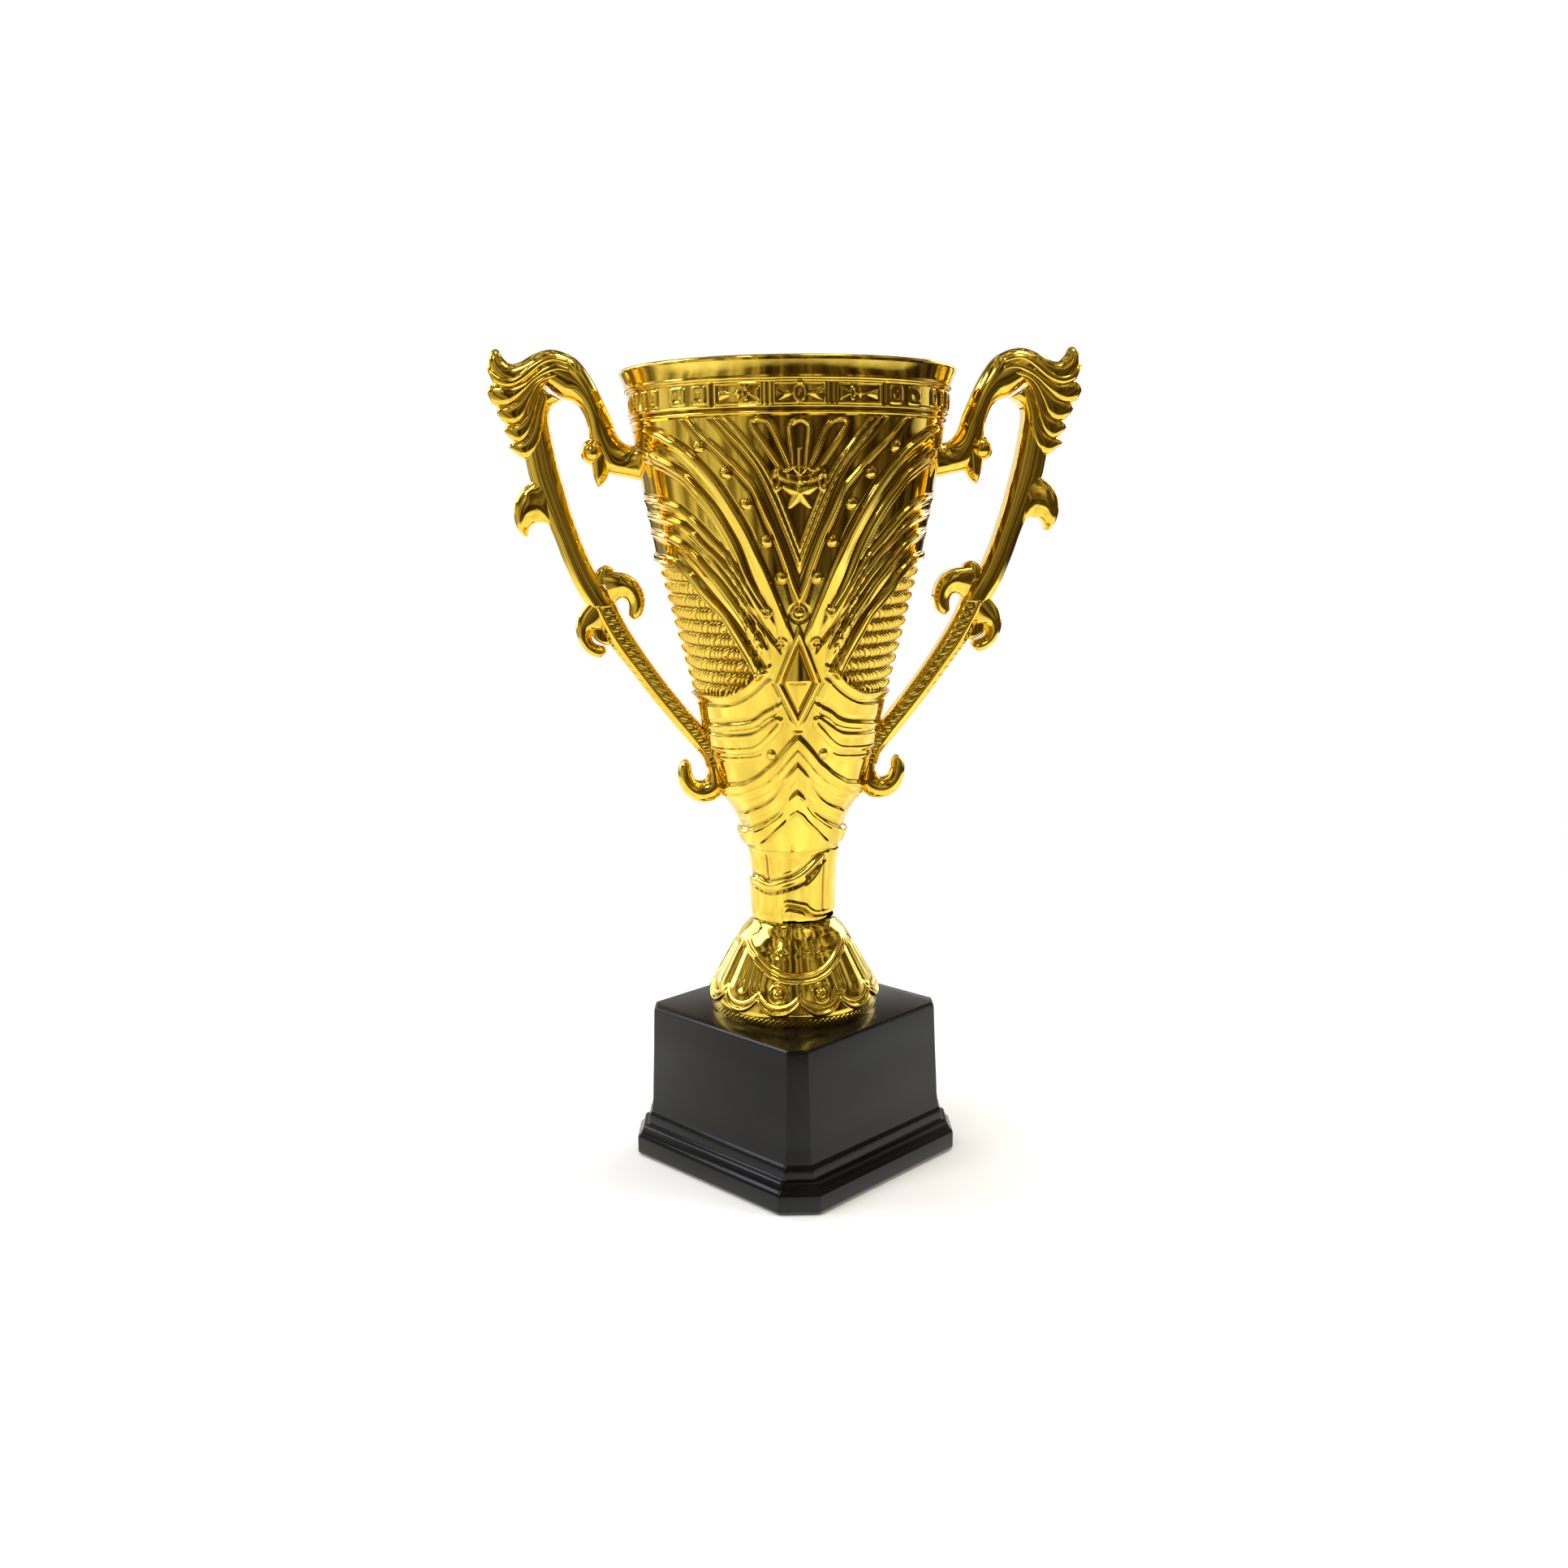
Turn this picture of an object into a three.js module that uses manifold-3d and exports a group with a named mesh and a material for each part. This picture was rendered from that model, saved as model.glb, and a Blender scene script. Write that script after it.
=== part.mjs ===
// Two-handled award cup on a square plinth, in millimetres, +Z up.
// The origin is the centre of the underside. The handles lie on X and the front of the pattern faces -Y.
// Plated plastic shells are stacked on a plinth, and one threaded rod clamps the whole stack.
import * as THREE from "three";
import Module from "manifold-3d";
import { mergeVertices } from "three/addons/utils/BufferGeometryUtils.js";

const wasm = await Module();
wasm.setup();

// ---- Driving dimensions ----

// Stack heights, from the floor up.
const plinthHeight = 52.7;
const footHeight = 32.1;
const stemHeight = 24.9;
const bowlHeight = 155.7;

// Bowl, with heights measured up from its own seat and drops measured down from the rim.
const bowlWall = 2;
const bowlFloorThickness = 2.6;
const bowlFloorHeight = 7.6;
const collarSeatRadius = 16.3;
const collarRadius = 18.4;
const collarHeight = 5.2;
const neckRadius = 17.9;
const neckHeight = 8;
const coneFootRadius = 22.9;
const coneFootHeight = 16.3;
const waistRadius = 33.2;
const waistHeight = 52.4;
const bellyRadius = 43.9;
const bellyHeight = 98;
const shoulderRadius = 50.2;
const shoulderDrop = 23.4;
const wallTopRadius = 50.5;
const friezeRadius = 52.3;
const friezeDepth = 8.4;
const rimBandDepth = 5.4;
const rimRadius = 54.4;
const rimLip = 1;

// Stem and foot.
const stemWall = 2;
const stemFootRadius = 14.1;
const collarOverhang = 0.7;
const ribbonStep = 0.9;
const ribbonHeight = 15;
const footTopStep = 0.3;
const footHemRadius = 28.8;
const footHemHeight = 4.3;
const footSeatRadius = 28.2;
const footWall = 2.2;
const webThickness = 2.5;

// Handles.
const handleDepth = 12;
const handleSeatGap = 0.3;
const lowerFixingHeight = 38.3;
const upperFixingDrop = 28.4;

// Plinth, whose plan is a square with cut corners.
const plinthTopHalf = 36.7;
const plinthDraft = 1.4;
const plinthTopLeg = 4.7;
const legPerOffset = 0.68;
const plinthWall = 2.4;
const plinthDeck = 2.8;
const plinthEdgeRadius = 0.8;
const skirtHeight = 15.6;
const skirtOffset = 5.7;
const skirtBandHeight = 6.6;
const ledgeBandHeight = 10.4;
const ledgeBandOffset = 1.6;
const ledgeShelf = 1.8;
const plinthTurn = 41.9;
const postRadius = 3.6;
const postBite = 0.8;

// Underside.
const padHeight = 2.2;
const padRadius = 6;
const padInset = 10.2;
const padProud = 0.5;
const coverThickness = 2.4;
const ballastGap = 1.9;
const ballastThickness = 10;

// Fasteners.
const rodDiameter = 6;
const rodProud = 2;
const nutAcrossFlats = 10;
const nutThickness = 5;
const bowlWasherRadius = 9;
const baseWasherRadius = 12;
const washerThickness = 1.4;
const screwDiameter = 3;
const screwHeadRadius = 2.9;
const screwHeadHeight = 1.7;
const handleScrewLength = 8;
const coverScrewLength = 12;
const recessWidth = 0.9;
const recessLength = 3.2;
const recessDepth = 0.9;

// Clearances.
const seatGap = 0.05;
const slideGap = 0.4;
const threadGap = 0.3;
const spigotHeight = 2.6;
const spigotWall = 1.6;

// ---- Heights that follow from the stack ----

const deckUnderside = plinthHeight - plinthDeck;
const footBase = plinthHeight + seatGap;
const stemBase = plinthHeight + footHeight + seatGap;
const bowlBase = plinthHeight + footHeight + stemHeight + seatGap;
const rimTop = bowlBase + bowlHeight;
const bowlFloorTop = bowlBase + bowlFloorHeight + bowlFloorThickness;
const rodHoleRadius = rodDiameter / 2 + slideGap;
const screwHoleRadius = screwDiameter / 2 + threadGap;
const coverBase = padHeight + seatGap;
const coverTop = coverBase + coverThickness;

// ---- Materials ----

const gold = () => new THREE.MeshStandardMaterial({ color: 0xd9b13b, roughness: 0.16, metalness: 1 });
const blackPlastic = () => new THREE.MeshStandardMaterial({ color: 0x17171a, roughness: 0.3, metalness: 0 });
const zincSteel = () => new THREE.MeshStandardMaterial({ color: 0xb4b8bd, roughness: 0.35, metalness: 1 });
const castIron = () => new THREE.MeshStandardMaterial({ color: 0x4a4a4c, roughness: 0.7, metalness: 0.8 });
const rubber = () => new THREE.MeshStandardMaterial({ color: 0x1c1c1c, roughness: 0.9, metalness: 0 });

// ---- Shaping ----

// Sides of the round pieces: shells, small turned pieces, and holes.
const shellSides = 40;
const pieceSides = 24;
const holeSides = 16;

// A turning about the Z axis. The profile runs up the outside, as [radius, height] pairs.
function turned(profile, segments) {
  const points = profile.map(([radius, height]) => new THREE.Vector2(radius, height));
  return new THREE.LatheGeometry(points, segments).rotateX(Math.PI / 2);
}

// A ring is a turning whose profile closes on itself.
function turnedRing(profile, segments) {
  return turned([...profile, profile[0]], segments);
}

function toSolid(geometry) {
  const bare = geometry.clone();
  bare.deleteAttribute("normal");
  bare.deleteAttribute("uv");
  const merged = mergeVertices(bare, 1e-3);
  const vertProperties = new Float32Array(merged.attributes.position.array);
  const triVerts = new Uint32Array(merged.index.array);
  return new wasm.Manifold(new wasm.Mesh({ numProp: 3, vertProperties, triVerts }));
}

function toGeometry(solid) {
  const { vertProperties, triVerts } = solid.getMesh();
  const geometry = new THREE.BufferGeometry();
  geometry.setAttribute("position", new THREE.BufferAttribute(new Float32Array(vertProperties), 3));
  geometry.setIndex(new THREE.BufferAttribute(new Uint32Array(triVerts), 1));
  const faceted = geometry.toNonIndexed();
  faceted.computeVertexNormals();
  return faceted;
}

function node(name, geometry, material) {
  const mesh = new THREE.Mesh(geometry, material);
  mesh.name = name;
  return mesh;
}

// Radius of a profile at a height, on the straight line between its nearest points.
function radiusAt(profile, height) {
  const upper = profile.findIndex(([, z]) => z >= height);
  const [r0, z0] = profile[upper - 1];
  const [r1, z1] = profile[upper];
  return r0 + ((r1 - r0) * (height - z0)) / (z1 - z0);
}

// ---- Bowl ----

const friezeTop = rimTop - rimBandDepth;
const friezeBottom = friezeTop - friezeDepth;
const borderBead = 1.3;
const friezeWallRadius = friezeRadius - borderBead;

// The rolled rim: a band that flares to the rim bead and turns over to the inside.
function rimRoll() {
  const bead = new THREE.Path().absarc(rimRadius - rimLip, rimTop - rimLip, rimLip, 0, Math.PI / 2);
  return bead.getPoints(3).map(({ x, y }) => [x, y]);
}

const bowlOutside = [
  [collarSeatRadius, bowlBase],
  [collarRadius, bowlBase + collarHeight],
  [neckRadius, bowlBase + neckHeight],
  [coneFootRadius, bowlBase + coneFootHeight],
  [waistRadius, bowlBase + waistHeight],
  [bellyRadius, bowlBase + bellyHeight],
  [shoulderRadius, rimTop - shoulderDrop],
  [wallTopRadius, friezeBottom - 2 * borderBead],
  [wallTopRadius + borderBead, friezeBottom - borderBead],
  [friezeWallRadius, friezeBottom],
  [friezeRadius, friezeBottom + borderBead],
  [friezeRadius, friezeTop - borderBead],
  [friezeWallRadius + borderBead / 2, friezeTop],
  [rimRadius - rimLip / 2, friezeTop + rimBandDepth / 3],
  [rimRadius, rimTop - 2 * rimLip],
  ...rimRoll(),
];

function bowlInside() {
  const hollowTop = rimTop - rimLip;
  const stations = [
    [bowlFloorTop + bowlWall, 0],
    [bowlBase + waistHeight, 0],
    [bowlBase + bellyHeight, 0],
    [rimTop - shoulderDrop, 0],
    [friezeBottom - 2 * borderBead, 0],
    [hollowTop, rimLip],
  ];
  const wall = stations.map(([z, spare]) => [radiusAt(bowlOutside, z) - bowlWall - spare, z]);
  const [cornerRadius] = wall[0];
  return [[cornerRadius - bowlWall, bowlFloorTop], ...wall];
}

const stemSpigotRadius = collarSeatRadius - bowlWall - slideGap;

function bowlGeometry() {
  const floorUnderside = bowlBase + bowlFloorHeight;
  const profile = [
    ...bowlOutside,
    ...bowlInside().reverse(),
    [rodHoleRadius, bowlFloorTop],
    [rodHoleRadius, floorUnderside],
    [stemSpigotRadius + slideGap, floorUnderside],
    [stemSpigotRadius + slideGap, bowlBase],
  ];
  return turnedRing(profile, shellSides);
}

// What a handle has to stay clear of: the bowl's outside, grown by the seat gap.
function bowlEnvelope() {
  const grown = bowlOutside.map(([radius, z]) => [radius + handleSeatGap, z]);
  return toSolid(turned([[0, bowlBase], ...grown, [0, rimTop]], shellSides));
}

// ---- Raised pattern of the bowl ----

const ribWidth = 2.2;
const ribHeight = 1.2;
const studRadius = 1.7;
const studHeight = 1.1;
const diamondHalfWidth = 6.2;
const diamondHalfHeight = 15;
const diamondThickness = 2.4;

// Heights of the pattern, as shares of the bowl's height.
const diamondHeight = 0.379 * bowlHeight;
const ribFootHeight = 0.5523 * bowlHeight;
const middleRibFootHeight = 0.488 * bowlHeight;
const lowerRibFootHeight = 0.398 * bowlHeight;
const lowerRibTopHeight = 0.623 * bowlHeight;
const studRise = 0.0642 * bowlHeight;

// A point on the bowl's outside, at an angle in degrees from the front.
function onBowl(angle, z) {
  const radius = radiusAt(bowlOutside, z);
  const turn = THREE.MathUtils.degToRad(angle);
  return new THREE.Vector3(radius * Math.sin(turn), -radius * Math.cos(turn), z);
}

// A rib of the pattern, from its foot at the front up to its top at the side.
function ribSolid(footAngle, footZ, topAngle, topZ, bow) {
  const steps = [0, 0.25, 0.5, 0.75, 1];
  const points = steps.map((t) => {
    const rise = t + bow * t * (1 - t);
    return onBowl(THREE.MathUtils.lerp(footAngle, topAngle, t), THREE.MathUtils.lerp(footZ, topZ, rise));
  });
  const section = new THREE.Shape();
  section.absellipse(0, 0, ribHeight, ribWidth / 2, 0, 2 * Math.PI, false, 0);
  const extrudePath = new THREE.CatmullRomCurve3(points);
  return toSolid(new THREE.ExtrudeGeometry(section, { steps: 8, curveSegments: 4, extrudePath }));
}

// A round stud whose axis stands square to the wall.
function studSolid(angle, z) {
  const profile = [
    [0, -bowlWall / 2],
    [studRadius, -bowlWall / 2],
    [studRadius, studHeight / 2],
    [0, studHeight],
  ];
  const stud = turned(profile, 8).rotateX(Math.PI / 2);
  stud.rotateZ(THREE.MathUtils.degToRad(angle));
  return toSolid(stud.translate(...onBowl(angle, z)));
}

// The faceted diamond at the foot of the ribs.
function diamondSolid(side) {
  const centreZ = bowlBase + diamondHeight;
  const gem = new THREE.OctahedronGeometry(1);
  gem.scale(diamondHalfWidth, diamondThickness, diamondHalfHeight);
  const lean = Math.atan2(onBowl(0, centreZ - 1).y - onBowl(0, centreZ + 1).y, 2);
  gem.rotateX(lean);
  gem.translate(0, onBowl(0, centreZ).y, centreZ);
  return toSolid(gem.rotateZ(side * Math.PI));
}

// One side of the cup carries three pairs of ribs, a diamond, a row of studs and a central stud.
function patternSolids(side) {
  const ribFoot = bowlBase + ribFootHeight;
  const topZ = friezeBottom - 2 * borderBead;
  const ribs = [
    [0.5, ribFoot, 28, topZ, 0.1],
    [6, bowlBase + middleRibFootHeight, 60, topZ - 3, 0.75],
    [11, bowlBase + lowerRibFootHeight, 62, bowlBase + lowerRibTopHeight, 0.85],
  ];
  const solids = [diamondSolid(side), studSolid(180 * side, ribFoot - studRise / 2)];
  for (const hand of [-1, 1]) {
    for (const [footAngle, footZ, topAngle, ribTopZ, bow] of ribs) {
      const turn = 180 * side;
      solids.push(ribSolid(turn + hand * footAngle, footZ, turn + hand * topAngle, ribTopZ, bow));
    }
    for (let count = 0; count < 5; count += 1) {
      const angle = 7 + 6.6 * count;
      solids.push(studSolid(180 * side + hand * angle, ribFoot + (count + 0.5) * studRise));
    }
  }
  return solids;
}

function cupBowl() {
  let bowl = toSolid(bowlGeometry());
  const inside = toSolid(turned(bowlHollow(), shellSides));
  for (const side of [0, 1]) {
    for (const raised of patternSolids(side)) bowl = bowl.add(raised.subtract(inside));
  }
  for (const hole of handleFixings.map(({ holeSolid }) => holeSolid)) bowl = bowl.subtract(hole);
  return node("cup_bowl", toGeometry(bowl), gold());
}

function bowlHollow() {
  return [[0, bowlFloorTop], ...bowlInside(), [0, rimTop - rimLip]];
}

// ---- Handles ----

const lowerFixingZ = bowlBase + lowerFixingHeight;
const upperFixingZ = rimTop - upperFixingDrop;
const designSpan = 89;

// The handle is drawn as a reach out from the wall and a height above the lower fixing.
// Height follows the distance between the two fixings, and reach follows the slope of the wall.
function handlePoint([reach, height]) {
  const share = height / designSpan;
  const lowerRadius = radiusAt(bowlOutside, lowerFixingZ);
  const upperRadius = radiusAt(bowlOutside, upperFixingZ);
  const wall = THREE.MathUtils.lerp(lowerRadius, upperRadius, share);
  return new THREE.Vector2(wall + reach, THREE.MathUtils.lerp(lowerFixingZ, upperFixingZ, share));
}

// Each run of the outline is one smooth curve, and runs meet at the corners of the ornament.
const handleRuns = [
  // Top arch, from the wall over to the horn's tip.
  [[-2, 94], [1, 95.2], [3.7, 97], [5.2, 103.5], [7.2, 114], [10.1, 120.4], [14.1, 123.6], [19, 125], [24, 123.8],
    [29, 121.6], [32.2, 121], [34.8, 124.8]],
  // Horn and the four leaf lobes down its outer side.
  [[34.8, 124.8], [38.4, 122.8], [39.8, 119.6], [39.6, 114.7]],
  [[39.6, 114.7], [41.3, 111.5], [41.5, 108.2], [39.8, 106.4]],
  [[39.8, 106.4], [40.2, 104], [39.5, 100.8], [37.8, 98.2]],
  [[37.8, 98.2], [39, 95.4], [37.9, 92.8], [35.5, 91.6]],
  // Upper shaft down to the outer hook.
  [[35.5, 91.6], [35.4, 83.1]],
  [[35.4, 83.1], [39.5, 81], [42.7, 76.7], [43.7, 72], [43.1, 68.3], [41.5, 65.9]],
  [[41.5, 65.9], [39.6, 68.8], [37, 70.4], [34.5, 70.2], [32.3, 68.2]],
  // Middle shaft down to the lower outer hook.
  [[32.3, 68.2], [31.6, 58.8], [30.6, 52], [28.2, 42.8]],
  [[28.2, 42.8], [31.2, 40.6], [33, 36.2], [32.8, 30.8], [30.8, 27.4], [28, 26.2], [25.8, 27.8]],
  [[25.8, 27.8], [26, 30], [28, 31], [28.6, 33.4], [27, 35], [25, 34.4]],
  // Lower shaft to the bottom scroll.
  [[25, 34.4], [22, 28], [15.5, 15.1], [10.8, 6.7], [5.8, -1.7], [2.2, -7.5], [1.5, -11.5]],
  [[1.5, -11.5], [3.1, -14.4], [5.4, -15], [5.9, -12.8], [5, -10]],
  [[5, -10], [6.9, -8.8], [9.9, -10.4], [11.5, -14.1], [11.2, -19], [8.9, -22.4], [5.9, -23.7], [1, -22.7],
    [-2.4, -20.4]],
  // Behind the wall, where the bowl trims it.
  [[-2.4, -20.4], [-1.6, 1]],
  // Inner side of the lower shaft up to the inner hook.
  [[-1.6, 1], [2.1, 6.6], [5.4, 12.1], [9.8, 20.4], [13.5, 28.6], [16.5, 36.7], [17.9, 42]],
  [[17.9, 42], [16.6, 45], [14.6, 45.6], [14, 43.2], [14.8, 40.2], [13.1, 38.4]],
  [[13.1, 38.4], [10.3, 40.4], [8.5, 44.4], [8.3, 48.3], [9.8, 51.6], [12.7, 53.6], [15.8, 53.4]],
  [[15.8, 53.4], [16.3, 55.4], [18.4, 56.2], [20.7, 55.4], [22.3, 53.6]],
  // Inner side of the upper shaft, round the arch, to the knob.
  [[22.3, 53.6], [23.6, 60.8], [24.9, 69.2], [25.4, 79.6], [25.6, 87.9], [25.4, 95.8], [24.8, 102.5], [23.5, 106],
    [21.1, 108.2], [18.5, 108.8], [15.9, 108], [13.9, 105.9], [12.9, 101.8], [13.5, 97]],
  [[13.5, 97], [16, 95], [17, 92.4], [16.4, 89.4], [14.1, 88.2]],
  [[14.1, 88.2], [14.8, 85.5], [14.4, 81.6]],
  [[14.4, 81.6], [11.8, 83], [9.2, 84.7], [5.1, 84.9], [-2, 83.4]],
];

function handleShape() {
  const shape = new THREE.Shape();
  const start = handlePoint(handleRuns[0][0]);
  shape.moveTo(start.x, start.y);
  for (const run of handleRuns) {
    const points = run.slice(1).map(handlePoint);
    if (points.length > 1) shape.splineThru(points);
    else shape.lineTo(points[0].x, points[0].y);
  }
  shape.closePath();
  return shape;
}

// The right handle's solid. The left one is the same piece turned half round.
function handleSolid() {
  const options = { depth: handleDepth, curveSegments: 2, bevelEnabled: false };
  const plate = new THREE.ExtrudeGeometry(handleShape(), options).rotateX(Math.PI / 2);
  plate.translate(0, handleDepth / 2, 0);
  return toSolid(plate).subtract(bowlEnvelope());
}

// ---- Fixings of the handles ----

// A fixing's own frame: its origin is on the bowl's outside and its Z axis points out of the wall.
function fixingFrame(z, side) {
  const rise = 1;
  const slope = (radiusAt(bowlOutside, z + rise) - radiusAt(bowlOutside, z - rise)) / (2 * rise);
  const frame = new THREE.Object3D();
  frame.position.set(side * radiusAt(bowlOutside, z), 0, z);
  frame.rotation.y = side * (Math.PI / 2 + Math.atan(slope));
  frame.updateMatrix();
  return frame;
}

// Distance from the outside of the wall to the inside, square to the wall.
function wallDepth(z) {
  const inside = radiusAt(bowlInside(), z);
  return radiusAt(bowlOutside, z) - inside;
}

function screwHoleSolid(frame) {
  const depth = handleScrewLength + bowlWall;
  const hole = new THREE.CylinderGeometry(screwHoleRadius, screwHoleRadius, 2 * depth, holeSides);
  return toSolid(hole.rotateX(Math.PI / 2).applyMatrix4(frame.matrix));
}

const handleFixings = [
  ["upper", upperFixingZ],
  ["lower", lowerFixingZ],
].flatMap(([level, z]) =>
  [
    ["right", 1],
    ["left", -1],
  ].map(([hand, side]) => {
    const frame = fixingFrame(z, side);
    return { name: `handle_screw_${hand}_${level}`, z, side, frame, holeSolid: screwHoleSolid(frame) };
  }),
);

function handle(name, side) {
  let solid = side > 0 ? handleSolid() : handleSolid().rotate([0, 0, 180]);
  for (const fixing of handleFixings.filter((one) => one.side === side)) {
    solid = solid.subtract(fixing.holeSolid);
  }
  return node(name, toGeometry(solid), gold());
}

// ---- Fasteners ----

// A pan-head screw along Z: the head lies below z = 0 and the shank above it, ending in a point.
function screwGeometry(length) {
  const shank = screwDiameter / 2;
  const profile = [
    [0, -screwHeadHeight],
    [screwHeadRadius * 0.6, -screwHeadHeight],
    [screwHeadRadius, -screwHeadHeight * 0.45],
    [screwHeadRadius, 0],
    [shank, 0],
    [shank, length - screwDiameter],
    [0, length],
  ];
  let solid = toSolid(turned(profile, holeSides));
  for (const turn of [0, 90]) {
    const slot = new THREE.BoxGeometry(recessLength, recessWidth, 2 * recessDepth);
    const cutter = toSolid(slot.translate(0, 0, -screwHeadHeight));
    solid = solid.subtract(cutter.rotate([0, 0, turn]));
  }
  return toGeometry(solid);
}

function handleScrew({ name, z, frame }) {
  const group = new THREE.Group();
  group.position.copy(frame.position);
  group.rotation.copy(frame.rotation);
  const screw = node(name, screwGeometry(handleScrewLength), zincSteel());
  screw.position.z = -wallDepth(z) - handleSeatGap;
  group.add(screw);
  return group;
}

function nutGeometry() {
  const outline = new THREE.Shape();
  const cornerRadius = nutAcrossFlats / 2 / Math.cos(Math.PI / 6);
  for (let corner = 0; corner < 6; corner += 1) {
    const angle = (corner * Math.PI) / 3;
    const x = cornerRadius * Math.cos(angle);
    const y = cornerRadius * Math.sin(angle);
    if (corner === 0) outline.moveTo(x, y);
    else outline.lineTo(x, y);
  }
  outline.closePath();
  const hole = new THREE.Path().absarc(0, 0, rodDiameter / 2 + threadGap, 0, 2 * Math.PI, true);
  outline.holes.push(hole);
  return new THREE.ExtrudeGeometry(outline, { depth: nutThickness, bevelEnabled: false, curveSegments: pieceSides });
}

function washerGeometry(radius) {
  const profile = [
    [rodHoleRadius, 0],
    [radius, 0],
    [radius, washerThickness],
    [rodHoleRadius, washerThickness],
  ];
  return turnedRing(profile, pieceSides);
}

// ---- Stem and foot ----

const footSpigotRadius = stemFootRadius - stemWall - slideGap;
const footTopRadius = stemFootRadius + footTopStep;

// The spigot of a web: a ring that stands up from it and centres the piece above.
function spigot(outerRadius, base) {
  return [
    [outerRadius, base],
    [outerRadius, base + spigotHeight],
    [outerRadius - spigotWall, base + spigotHeight],
    [outerRadius - spigotWall, base],
  ];
}

function stemSleeve() {
  const top = stemBase + stemHeight - seatGap;
  const ribbonZ = stemBase + ribbonHeight;
  const bore = stemFootRadius - stemWall;
  const ribbonRadius = stemFootRadius + ribbonStep;
  const profile = [
    [bore, stemBase],
    [stemFootRadius, stemBase],
    [stemFootRadius, stemBase + stemHeight / 3],
    [ribbonRadius, ribbonZ - 2],
    [ribbonRadius, ribbonZ],
    [(ribbonRadius + stemFootRadius) / 2, ribbonZ + 2],
    [collarSeatRadius - collarOverhang, top],
    ...spigot(stemSpigotRadius, top),
    [rodHoleRadius, top],
    [rodHoleRadius, top - webThickness],
    [bore, top - webThickness],
  ];
  return node("stem_sleeve", turnedRing(profile, shellSides), gold());
}

function footBell() {
  const top = footBase + footHeight - seatGap;
  const rise = footHeight - footHemHeight;
  const bell = new THREE.CubicBezierCurve(
    new THREE.Vector2(footHemRadius, footBase + footHemHeight),
    new THREE.Vector2(footHemRadius - 4.2, footBase + footHemHeight + 0.42 * rise),
    new THREE.Vector2(footTopRadius + 3.2, top - 0.2 * rise),
    new THREE.Vector2(footTopRadius, top),
  );
  const outside = bell.getPoints(7).map(({ x, y }) => [x, y]);
  const webUnderside = top - webThickness;
  const inside = outside
    .filter(([, z]) => z < webUnderside - footWall)
    .map(([radius, z]) => [radius - footWall, z]);
  const profile = [
    [footSeatRadius - footWall, footBase],
    [footSeatRadius, footBase],
    ...outside,
    ...spigot(footSpigotRadius, top),
    [rodHoleRadius, top],
    [rodHoleRadius, webUnderside],
    [footTopRadius - footWall, webUnderside],
    ...inside.reverse(),
  ];
  return node("foot_bell", turnedRing(profile, shellSides), gold());
}

// ---- Plinth ----

const skirtBase = padProud;
const plinthFootHalf = plinthTopHalf + plinthDraft;

// How far the cut corner runs along each side, for a plan grown or shrunk from the top's.
function legFor(half) {
  return plinthTopLeg + legPerOffset * (half - plinthTopHalf);
}

// A turning with eight sides, whose corners are moved onto a square with cut corners.
function mouldedSquare(profile) {
  const points = profile.map(([half, z]) => new THREE.Vector2(half, z));
  const geometry = new THREE.LatheGeometry(points, 8);
  const position = geometry.attributes.position;
  for (let index = 0; index < position.count; index += 1) {
    const [half, z] = profile[index % profile.length];
    const column = Math.floor(index / profile.length) % 8;
    const short = Math.max(half - legFor(half), 0);
    const quarter = Math.floor(column / 2);
    const corner = column % 2 ? new THREE.Vector2(half, short) : new THREE.Vector2(short, half);
    corner.rotateAround(new THREE.Vector2(), (-quarter * Math.PI) / 2);
    position.setXYZ(index, half ? corner.x : 0, z, half ? corner.y : 0);
  }
  return geometry.rotateX(Math.PI / 2);
}

const skirtHalf = plinthFootHalf + skirtOffset;
const bandHalf = plinthFootHalf + ledgeBandOffset;
const shelfHalf = bandHalf + ledgeShelf;

// The plinth's outside, from the floor up to the deck.
function plinthOutside() {
  const shelfRise = 0.4;
  const ovolo = new THREE.QuadraticBezierCurve(
    new THREE.Vector2(skirtHalf, skirtBase + skirtBandHeight),
    new THREE.Vector2(skirtHalf, ledgeBandHeight - shelfRise),
    new THREE.Vector2(shelfHalf, ledgeBandHeight - shelfRise),
  );
  return [
    [skirtHalf - plinthEdgeRadius, skirtBase],
    [skirtHalf, skirtBase + plinthEdgeRadius],
    ...ovolo.getPoints(4).map(({ x, y }) => [x, y]),
    [bandHalf, ledgeBandHeight],
    [bandHalf, skirtHeight - ledgeBandOffset],
    [plinthFootHalf, skirtHeight],
    [plinthTopHalf, plinthHeight - plinthEdgeRadius],
    [plinthTopHalf - plinthEdgeRadius, plinthHeight],
  ];
}

function plinthInside() {
  return [
    [skirtHalf - plinthWall, skirtBase],
    [skirtHalf - plinthWall, skirtBase + skirtBandHeight - plinthWall / 2],
    [bandHalf - plinthWall, ledgeBandHeight - plinthWall],
    [bandHalf - plinthWall, skirtHeight - plinthWall],
    [plinthFootHalf - plinthWall, skirtHeight],
    [plinthTopHalf - plinthWall, deckUnderside],
  ];
}

const postReach = plinthTopHalf - plinthWall - postRadius + postBite;
const footRingRadius = footSeatRadius - footWall - slideGap;

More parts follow.
